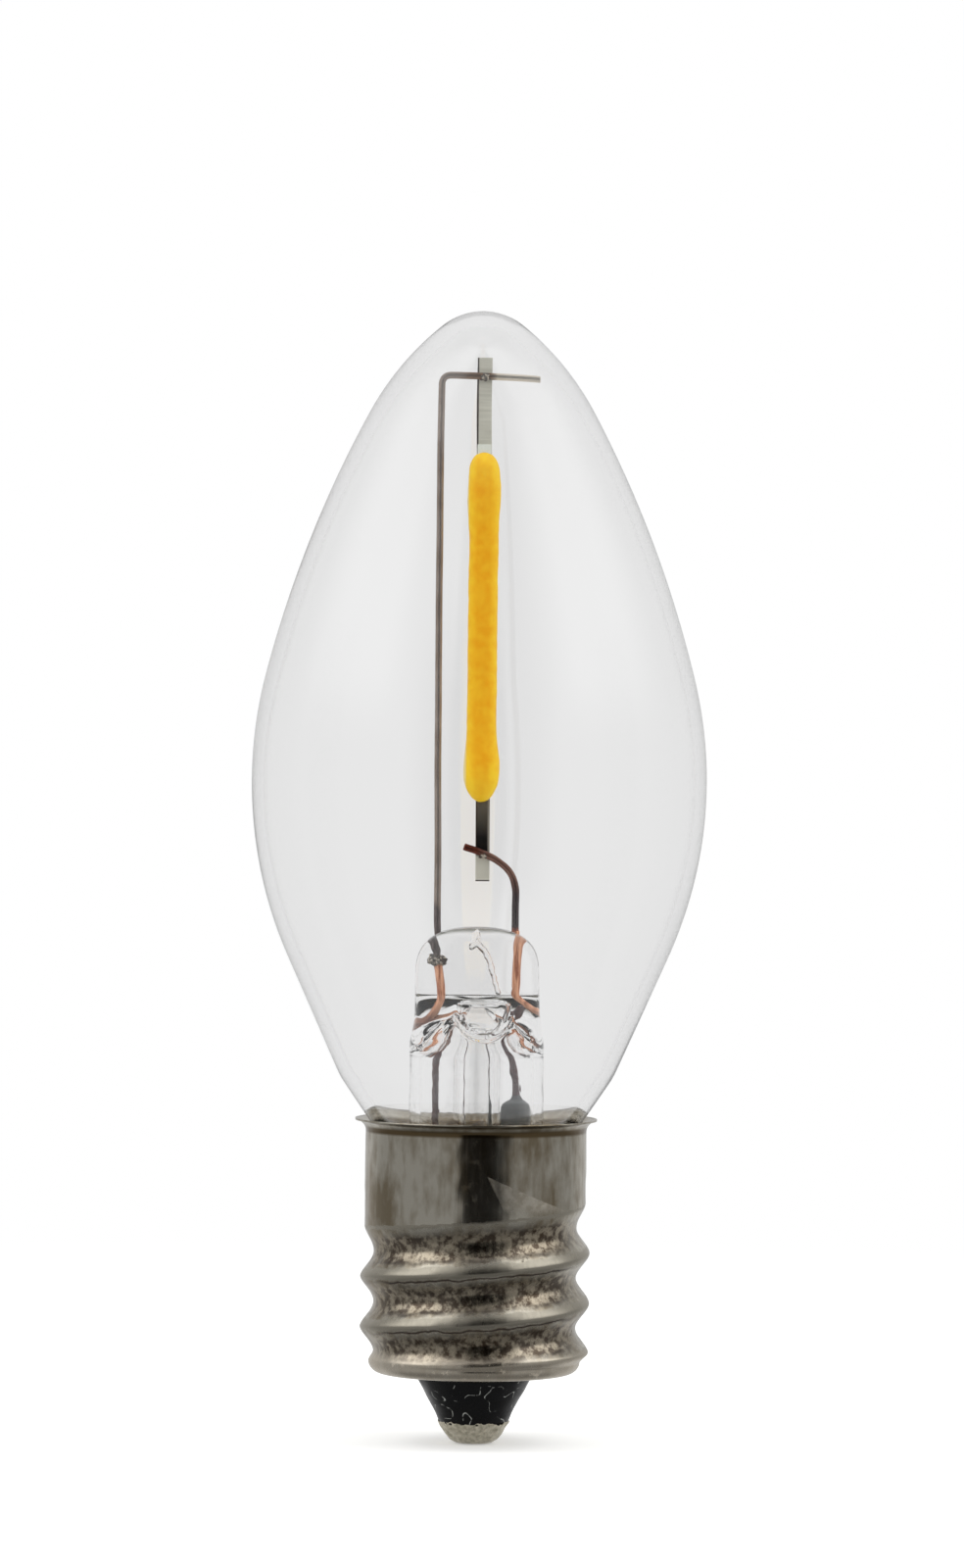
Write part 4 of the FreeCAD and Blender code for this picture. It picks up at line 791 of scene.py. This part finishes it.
# Nickel iron, rolled and stamped: dull grey with faint cross bands from the rolls and a dark
# sheared edge on the left
rolled_strip, shader, place = new_material("rolled_nickel_iron_tab")
spot = parts(place)
bands = noise(stretched(place, (0.08, 0.08, 1.0)), 0.16, 2.0)
tab_tone = coated(mix(ramp(bands, 0.3, 0.7), "C6C3B6", "DAD7CB"),
                  (ramp(spot["X"], -0.17 * MM, -0.2 * MM), "40342F"))
finish(shader, {"Base Color": tab_tone, "Metallic": 0.35, "Roughness": 0.6}, bands, 0.2, 0.02)
dress(upper_plate, rolled_strip)

# The lower tab's upper half is painted dark, near black low down and greyer upward: a painted
# reflection of the dark base and the gap in front, with fine bands, a pale right edge, and clean grey metal
# below the wire that crosses it
tab_with_painted_reflection, shader, place = new_material("nickel_iron_tab_with_painted_reflection")
spot = parts(place)
bands = noise(stretched(place, (0.08, 0.08, 1.0)), 0.14, 2.0)
# Painted reflection: near black at 30.6 mm, greyer by 32.3 mm, with a pale right edge and a dark left edge
upper_tone_with_painted_reflection = coated(mix(ramp(spot["Z"], 30.6 * MM, 32.3 * MM), "120E0C", "6E6558"),
                   (ramp(spot["X"], 0.42 * MM, 0.47 * MM), "958E84"),
                   (ramp(spot["X"], -0.08 * MM, -0.11 * MM), "3A2419"))
clean_tone = coated(mix(bands, "DCD7C8", "E8E4D8"), (ramp(spot["Z"], 28.46 * MM, 28.42 * MM), "4A3F38"))
tab_tone = mix(ramp(spot["Z"], 29.6 * MM, 29.8 * MM), clean_tone, upper_tone_with_painted_reflection)
finish(shader, {"Base Color": tab_tone, "Metallic": 0.4, "Roughness": 0.45}, bands, 0.3, 0.02)
dress(lower_plate, tab_with_painted_reflection)
for piece, node in ((upper_plate, "upper_tab"), (lower_plate, "lower_tab")):
    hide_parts(node)
    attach(piece, "root")


# Filament. A white alumina strip with a row of blue chips on it, all in a bead of silicone full
# of yellow phosphor, laid on by a needle that paused at both ends.

def grained(name, size, detail, first, second, inputs, strength, depth):
    """New material whose colour, between two, and whose bump follow one cloudy pattern."""
    material, shader, place = new_material(name)
    grain = noise(place, size, detail)
    finish(shader, {"Base Color": mix(grain, first, second), **inputs}, grain, strength, depth)
    return material


# Sintered alumina: chalky white, slightly see-through at its edges
alumina = grained("sintered_alumina", 0.12, 3.0, "D6DAD2", "E6E8E2", {"Roughness": 0.55}, 0.3, 0.01)
dress(nodes["ceramic_strip"], alumina)

# Sapphire chip with its metal pads: glassy blue-grey with a fine grid of tracks
sapphire, shader, place = new_material("sapphire_chip")
tracks = add("TexWave", {"Vector": place, "Scale": per(0.9)}, bands_direction="Z").outputs[0]
chip_inputs = {"Base Color": mix(tracks, "8E9BB0", "C9B98A"), "Roughness": 0.2}
finish(shader, chip_inputs, tracks, 0.3, 0.01)
dress(nodes["led_chips"], sapphire)

PHOSPHOR_TOP, PHOSPHOR_BOTTOM = 49.95, 32.36
PHOSPHOR_HALF = 0.745
BEAD_Y = -0.03


def bead_width(height):
    """Half the bead's width at a height: round ends, thick near both, slim between."""
    up, down = PHOSPHOR_TOP - height, height - PHOSPHOR_BOTTOM
    thick = 0.10 * np.exp(-((up - 2.2) / 1.3) ** 2) + 0.155 * np.exp(-((down - 1.7) / 1.1) ** 2)
    ends = dome(0, 1, 2.0, 1 - np.clip(up / 0.95, 0, 1)) * dome(0, 1, 2.1, 1 - np.clip(down / 1.25, 0, 1))
    return (PHOSPHOR_HALF + thick) * ends


run = 1 - np.cos(np.linspace(0, math.pi / 2, 40))
bead_height = np.concatenate([
    PHOSPHOR_BOTTOM + 1.25 * run, np.linspace(PHOSPHOR_BOTTOM + 1.3, PHOSPHOR_TOP - 1.0, 180),
    PHOSPHOR_TOP - 0.95 * run[::-1]])
wide, power = bead_width(bead_height), np.full(len(bead_height), 2.15)
bead = flattened(wide, wide * 0.98, power, bead_height, 72)
bead[..., :2] *= (1 + 0.02 * waves(bead, 2.4, 61) + 0.012 * waves(bead, 0.8, 62))[..., None]
bead[..., 0] += FILAMENT_X + 0.03 * waves(bead * [0, 0, 1], 7, 63)
bead[..., 1] += BEAD_Y
phosphor_bead = skin("phosphor_bead", bead)
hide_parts("phosphor_coat")
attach(phosphor_bead, "root")

# Silicone with yellow phosphor powder, cured: egg-yolk amber with a satin skin, deep where it
# is thick over the chips, lighter at the thin edges, and a pale clear skin left of both thick ends
yolk, shader, place = new_material("phosphor_silicone")
spot = parts(place)
from_axis = calc("ABSOLUTE", calc("SUBTRACT", spot["X"], FILAMENT_X * MM))
from_middle = calc("ABSOLUTE", calc("SUBTRACT", spot["Z"], (PHOSPHOR_TOP + PHOSPHOR_BOTTOM) / 2 * MM))
thin = ramp(from_axis, 0.3 * MM, 0.72 * MM, 0.0, 0.6)
for more, amount in ((soft_ramp(from_middle, 6.6 * MM, 8.8 * MM, 0.0, 0.7), 1.0),
                     (noise(place, 1.6, 3.0), 0.6),
                     (ramp(noise(place, 0.45, 4.0), 0.3, 0.7, -0.2, 0.3), 1.0)):
    thin = calc("MULTIPLY_ADD", more, amount, thin)
thin = calc("SUBTRACT", thin, 0.18, clamp=True)
yolk_tone = coated(mix(thin, "F4A800", "FFD028"),
                   (ramp(spot["X"], -0.62 * MM, -0.7 * MM, 0.0, 0.8), "EFE0A8"))
yolk_inputs = {"Base Color": yolk_tone, "Roughness": 0.5, "Specular IOR Level": 0.25}
finish(shader, yolk_inputs, noise(place, 0.1, 2.0), 0.15, 0.02)
dress(phosphor_bead, yolk)


# Resistor and rectifier. They stand in the screw shell under the stem: the resistor's lacquered
# shoulder shows through the neck, its lead coming out of a small cone of lacquer.

RESISTOR_X = 2.02

body_profile = np.array([
    (0.0, 17.72), (0.2, 17.72), (0.24, 17.62), (0.33, 17.5), (0.5, 17.42), (0.66, 17.3), (0.77, 17.1),
    (0.82, 16.8), (0.81, 16.5), (0.78, 16.3), (0.71, 16.15), (0.7, 15.6), (0.7, 15.1), (0.71, 14.9),
    (0.78, 14.75), (0.81, 14.5), (0.8, 14.2), (0.74, 13.98), (0.6, 13.84), (0.3, 13.72), (0.0, 13.55)])[::-1]
resistor_rows = turned(evenly(body_profile, 0.06), 48)
resistor_rows[..., :2] *= (1 + 0.02 * waves(resistor_rows, 0.9, 71))[..., None]
resistor_rows[..., 0] += RESISTOR_X
resistor = skin("resistor_body", resistor_rows)
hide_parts("dropper_resistor")
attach(resistor, "root")

# Dipped epoxy lacquer: blue-grey, smooth with a soft shine and slight orange peel
lacquer = grained("grey_epoxy_lacquer", 0.35, 3.0, "3E4144", "55585C", {"Roughness": 0.35}, 0.3, 0.02)
dress(resistor, lacquer)

# Moulding compound of the rectifier: matt black with a fine grain
compound = grained("black_moulding_compound", 0.08, 2.0, "1E1E1E", "2C2B2A", {"Roughness": 0.7}, 0.4, 0.02)
dress(nodes["rectifier_diode"], compound)


# Screw shell. Thin brass sheet, nickel-plated, drawn to a cup with a flared rim and rolled to a
# right-hand thread. It has tarnished: brown and black specks in the grooves, bright worn crests.

COLLAR_RADIUS, SHEET = 5.59, 0.25
GROOVE_SHARE, MORE_DEPTH = 0.8, 0.08
PITCH, ROOT_DEPTH, CREST_HEIGHT, GROOVE_TOP = 2.54, 0.39, 0.21, 10.93
RUN_OUT = (0.02, 0.3)
FOOT_RADIUS, FOOT_HEIGHT, FOOT_BLEND, FOOT_CORNER = 5.35, 4.7, 0.65, 0.6
SHELL_BOTTOM, LIP_RADIUS, LIP_DROP = 3.45, 2.95, 0.15
COLLAR_TOP, RIM_RADIUS, RIM_HEIGHT = 15.75, 6.12, 16.3
SHELL_AROUND = 316


def thread_radius(angle, height):
    """Rolled wall: cosine grooves that climb one pitch a turn and fade out at the top end.

    Gives the radius, then how much of a groove there is, and the cosine and sine of the place
    between two grooves, each times the groove's strength there.
    """
    turns = angle / (2 * np.pi)
    position = (height - GROOVE_TOP) / PITCH - turns
    below = np.floor(position)
    part = position - below
    groove_below = 1 - fade(*RUN_OUT, below + turns)
    groove_above = 1 - fade(*RUN_OUT, below + 1 + turns)
    way = 2 * np.pi * part
    swell = (1 + np.cos(way)) / 2
    groove = np.where(part < 0.5, groove_below, groove_above)
    wide_swell = swell ** GROOVE_SHARE
    crest = CREST_HEIGHT * groove_above * (1 - wide_swell)
    rolled = COLLAR_RADIUS - (ROOT_DEPTH + MORE_DEPTH) * groove * wide_swell + crest
    foot = fade(FOOT_HEIGHT - FOOT_BLEND, FOOT_HEIGHT, height)
    strength = groove * foot
    radius = FOOT_RADIUS + (rolled - FOOT_RADIUS) * foot
    return radius, strength * swell, strength * np.cos(way), strength * np.sin(way)


lip_slope = math.atan2(LIP_DROP, FOOT_RADIUS - LIP_RADIUS)
corner_middle = FOOT_RADIUS - FOOT_CORNER
corner_start = corner_middle + FOOT_CORNER * math.sin(lip_slope)
corner_bottom = SHELL_BOTTOM + (corner_start - LIP_RADIUS) * math.tan(lip_slope)
wall_start = corner_bottom + FOOT_CORNER * math.cos(lip_slope)
swing = np.linspace(lip_slope, math.pi / 2, 14)[1:]
spread, lift = RIM_RADIUS - COLLAR_RADIUS, RIM_HEIGHT - COLLAR_TOP
flare_turn = 2 * math.atan2(spread, lift)
flare_radius = lift / math.sin(flare_turn)
opening = np.linspace(0, flare_turn, 12)[1:]
lip = evenly(np.array([(LIP_RADIUS, SHELL_BOTTOM), (corner_start, corner_bottom)]), 0.12)
corner = np.stack([corner_middle + FOOT_CORNER * np.sin(swing), wall_start - FOOT_CORNER * np.cos(swing)], -1)
wall = np.stack([np.full(190, COLLAR_RADIUS), np.linspace(wall_start, COLLAR_TOP, 191)[1:]], -1)
rim = np.stack([COLLAR_RADIUS + flare_radius - flare_radius * np.cos(opening),
                COLLAR_TOP + flare_radius * np.sin(opening)], -1)
sheet_line = np.concatenate([lip, corner, wall, rim])
threaded = np.repeat([False, True, False], [len(lip) + len(corner), len(wall), len(rim)])[:, None]
turn_angle = about(SHELL_AROUND)
rolled_radius, *thread_places = thread_radius(turn_angle, sheet_line[:, 1:])
wall_radius = np.where(threaded, rolled_radius, sheet_line[:, :1])
way = np.gradient(sheet_line, axis=0)
way /= np.linalg.norm(way, axis=1)[:, None]
inward = np.stack([-way[:, 1], way[:, 0]], -1)


def shell_rows(depth):
    """Points of the sheet at one depth from its outer face."""
    return carried(wall_radius + inward[:, :1] * depth, sheet_line[:, 1:] + inward[:, 1:] * depth, turn_angle)


outer_face = shell_rows(0.0)
dents = 0.014 * waves(outer_face, 3.2, 81) + 0.006 * waves(outer_face, 1.0, 82)
outer_way = outer_face * [1, 1, 0] / np.linalg.norm(outer_face[..., :2], axis=-1)[..., None]
outer_face -= outer_way * (0.012 - dents * fade(3.4, 4.4, outer_face[..., 2]))[..., None]
thinned = 1 - 0.65 * fade(RIM_HEIGHT - 0.5, RIM_HEIGHT, sheet_line[:, 1:])
inner_face = shell_rows(SHEET * thinned)[::-1][::3]
shell = skin("threaded_shell", np.concatenate([outer_face, inner_face]), ring_of_rows=True)
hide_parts("screw_shell")
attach(shell, "root")

# what the tarnish follows: how deep in a groove a point lies, and its place between two grooves
spare = np.zeros((len(inner_face), SHELL_AROUND))
PLACE_NAMES = ("groove_depth", "groove_way", "flank_way")
for name, values in zip(PLACE_NAMES, thread_places):
    layer = shell.data.attributes.new(name, "FLOAT", "POINT")
    values = np.concatenate([np.where(threaded, values, 0), spare])
    layer.data.foreach_set("value", values.ravel().astype(np.float32))


def between(value, start, end, soft):
    """1 where a value lies between start and end, 0 outside, with soft edges."""
    return times(ramp(value, start - soft, start + soft), ramp(value, end - soft, end + soft, 1.0, 0.0))


# Nickel plate on brass, drawn and rolled, then handled for years. Each ridge has a smooth pale
# strip worn by lamp holders, a smear of dirt above it and a dark line below it that is painted shade, partly
# dirt; the grooves are finely speckled brown
plate_metal, shader, place = new_material("tarnished_nickel_plate")
spot = parts(place)
depth, groove_way, flank_way = [
    add("Attribute", tree=shader.id_data, attribute_name=name).outputs["Fac"]
    for name in PLACE_NAMES]
past_crest = calc("ARCTAN2", times(flank_way, -1.0), times(groove_way, -1.0))
past_crest = calc("MULTIPLY_ADD", noise(place, 1.1, 4.0), 1.1, past_crest)
past_crest = calc("SUBTRACT", past_crest, 0.55)
formed = ramp(calc("MULTIPLY_ADD", flank_way, flank_way, calc("POWER", groove_way, 2.0)), 0.2, 0.8)
worn_strip = times(between(past_crest, -0.5, 0.95, 0.12), formed)
unworn = calc("SUBTRACT", 1.0, worn_strip)
# Specks and dark lines thin out towards the left and right edges as seen from the front: a painted sheen
# where the round shell is seen at a grazing angle
painted_side_sheen = ramp(calc("ABSOLUTE", spot["X"]), 4.2 * MM, 5.2 * MM, 1.0, 0.25)
under_collar = ramp(spot["Z"], 10.6 * MM, 9.6 * MM, 0.1, 1.0)
smear = ramp(noise(stretched(place, (0.5, 0.5, 1.6)), 1.3, 3.0), 0.42, 0.58, 0.15, 1.0)
# Below each crest, on the flank that faces down, a dark line of painted shade, partly dirt; above the worn
# strip, a smear of dirt
line_above = times(between(past_crest, 1.3, 1.75, 0.15), smear)
smear_and_painted_shade_lines = calc("MULTIPLY_ADD", line_above, 0.8, between(past_crest, -0.95, -0.55, 0.16))
smear_and_painted_shade_lines = times(smear_and_painted_shade_lines, formed, painted_side_sheen, under_collar)
brushed = noise(stretched(place, (1.0, 1.0, 0.3)), 0.45, 5.0)
film = ramp(calc("MULTIPLY_ADD", brushed, 0.6, noise(place, 3.2, 4.0)), 0.66, 0.96)
specks = noise(place, 0.42, 5.0, 0.62)
speckled = ramp(specks, 0.43, 0.57)
in_groove = times(ramp(depth, 0.15, 0.6, 0.0, 0.85), unworn, painted_side_sheen)
dirt_and_painted_shade = ramp(calc("MULTIPLY_ADD", noise(place, 1.5, 3.0), 0.5, specks), 0.88, 0.98, 0.0, 0.8)
# The specks of dirt, joined by the dark lines of dirt and painted shade
dirt_and_painted_shade = calc("MAXIMUM", times(dirt_and_painted_shade, unworn, under_collar), smear_and_painted_shade_lines)
under_rim = between(spot["Z"], 15.72 * MM, 16.02 * MM, 0.06 * MM)
# A pale band round the foot's lower curve: worn metal, made paler still as a painted highlight
foot_wear_and_painted_sheen = ramp(spot["Z"], 4.9 * MM, 4.4 * MM, 0.0, 0.6)

# A pale facet on the collar's front, a triangle whose upper edge slopes to the right: rougher, and its pale
# tone a painted reflection of bright cloth in a tilted facet
below_edge, right_of_edge = [
    add("VectorMath", {0: place, 1: way}, operation="DOT_PRODUCT").outputs["Value"]
    for way in ((0.463, 0.0, 1.0), (1.99, 0.0, 1.0))]
facet_with_painted_reflection = times(*[between(value, start * MM, end * MM, soft * MM) for value, start, end, soft in (
    (below_edge, 12.0, 14.09, 0.03), (right_of_edge, 14.96, 40.0, 0.1), (spot["Z"], 12.1, 14.2, 0.25),
    (spot["Y"], -7.0, -2.9, 0.9))], ramp(brushed, 0.35, 0.6, 0.55, 1.0))
metal_tone = coated(mix(film, "C8C3B6", "8F836E"), (in_groove, mix(speckled, "48382C", "B8AC98")),
                    (worn_strip, "AEA89A"), (dirt_and_painted_shade, "2E231B"), (under_rim, "6B5B42"), (foot_wear_and_painted_sheen, "EADFCD"),
                    (facet_with_painted_reflection, mix(speckled, "BEB6A6", "DAD3C5")))
scratches = noise(stretched(place, (1.0, 1.0, 0.05)), 0.18, 3.0)
dullness = ramp(scratches, 0.3, 0.7, 0.12, 0.22)
for share, more in ((in_groove, 0.1), (dirt_and_painted_shade, 0.2), (facet_with_painted_reflection, 0.3), (worn_strip, 0.14), (foot_wear_and_painted_sheen, 0.16)):
    dullness = calc("MULTIPLY_ADD", share, more, dullness)
relief = calc("MULTIPLY_ADD", scratches, 0.3, times(in_groove, specks))
bare_metal = ramp(dirt_and_painted_shade, 0.0, 1.0, 1.0, 0.4)
finish(shader, {"Base Color": metal_tone, "Metallic": bare_metal, "Roughness": dullness}, relief, 0.4, 0.03)
dress(shell, plate_metal)


# Cement ring. Baked lamp cement, a buff plaster, fills the gap between glass neck and collar.

cement = grained("baked_lamp_cement", 0.3, 5.0, "A3977F", "D6CDB8", {"Roughness": 0.85}, 0.5, 0.05)
dress(nodes["cement_ring"], cement)


# Insulator. A button of black glass, poured into the shell's bottom while soft: a smooth cone
# with moulded edges, a chipped step at its foot and pale scuffs from lamp holders.

button_profile = np.array([
    (0.0, 5.3), (1.2, 5.15), (4.5, 4.5), (4.7, 4.42), (4.7, 3.95), (4.6, 3.88), (2.98, 3.74), (2.92, 3.68),
    (2.92, 3.34), (2.9, 3.28), (2.6, 2.76), (2.13, 1.9), (2.07, 1.8), (1.95, 1.56), (1.78, 1.14),
    (1.74, 1.05), (1.7, 1.0), (0.6, 1.0), (0.0, 1.0)])[::-1]
button_rows = turned(evenly(button_profile, 0.07), 120)
button_rows[..., :2] *= 0.997 * (1 + 0.006 * waves(button_rows, 1.2, 91))[..., None]
button = skin("insulator_button", button_rows)
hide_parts("insulator")
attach(button, "root")

# Black lamp glass (vitrite), poured: deep black with a soft gloss, fine pale hair scratches
vitrite, shader, place = new_material("black_lamp_glass")
hair = calc("ABSOLUTE", calc("SUBTRACT", noise(place, 1.3, 1.0), 0.47))
worn = noise(place, 0.5, 4.0)
scuff = times(ramp(hair, 0.0, 0.009, 1.0, 0.0), ramp(worn, 0.46, 0.56, 0.0, 0.9))
button_inputs = {"Base Color": mix(scuff, "060607", "C4C6C2"), "Specular IOR Level": 0.32,
                 "Roughness": ramp(worn, 0.3, 0.7, 0.18, 0.36)}
finish(shader, button_inputs, worn, 0.2, 0.03)
dress(button, vitrite)


# Centre contact. A brass eyelet in the insulator's hole, filled and capped with solder that
# took the wire: dull grey, ragged where it ran over the black glass, flat where it is pressed.

brass_inputs = {"Metallic": 1.0, "Roughness": 0.35}
eyelet_brass = grained("stamped_brass_eyelet", 0.4, 2.0, "B5904A", "D1B06C", brass_inputs, 0.3, 0.02)
dress(nodes["contact_eyelet"], eyelet_brass)

cap_profile = np.array([
    (0.0, 0.02), (0.85, 0.03), (0.98, 0.06), (1.2, 0.2), (1.42, 0.45), (1.62, 0.78), (1.76, 1.04),
    (1.79, 1.1), (1.77, 1.14), (1.7, 1.12), (1.6, 1.04), (1.0, 1.0), (0.0, 1.0)])
cap_rows = turned(evenly(cap_profile, 0.045), 140)
edge = np.clip((cap_rows[..., 2] - 0.6) / 0.5, 0, 1)
level = cap_rows * [1, 1, 0]
cap_rows[..., 2] += edge * 0.075 * (waves(level, 0.55, 95) + 0.5 * waves(level, 0.2, 96))
cap_rows[..., :2] *= (1 + 0.025 * waves(cap_rows, 0.8, 97) * np.clip(cap_rows[..., 2] / 0.3, 0, 1))[..., None]
cap = skin("solder_contact", cap_rows)
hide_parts("contact_solder")
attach(cap, "root")

# Tin-lead solder, dipped and cooled: dull warm grey with frosty bright grains and brown flux
solder, shader, place = new_material("dull_tin_solder")
frost = noise(place, 0.22, 5.0, 0.6)
solder_inputs = {"Base Color": mix(ramp(frost, 0.35, 0.65), "B0A994", "E6DFCC"), "Metallic": 0.55,
                 "Roughness": ramp(frost, 0.3, 0.7, 0.5, 0.34)}
finish(shader, solder_inputs, frost, 0.5, 0.04)
dress(cap, solder)

# Light goes through up to a dozen faces of glass on its way, so it may bend more often than usual
GLASS_FACES = 24
scene.cycles.max_bounces = GLASS_FACES
scene.cycles.transmission_bounces = GLASS_FACES
scene.cycles.transparent_max_bounces = GLASS_FACES
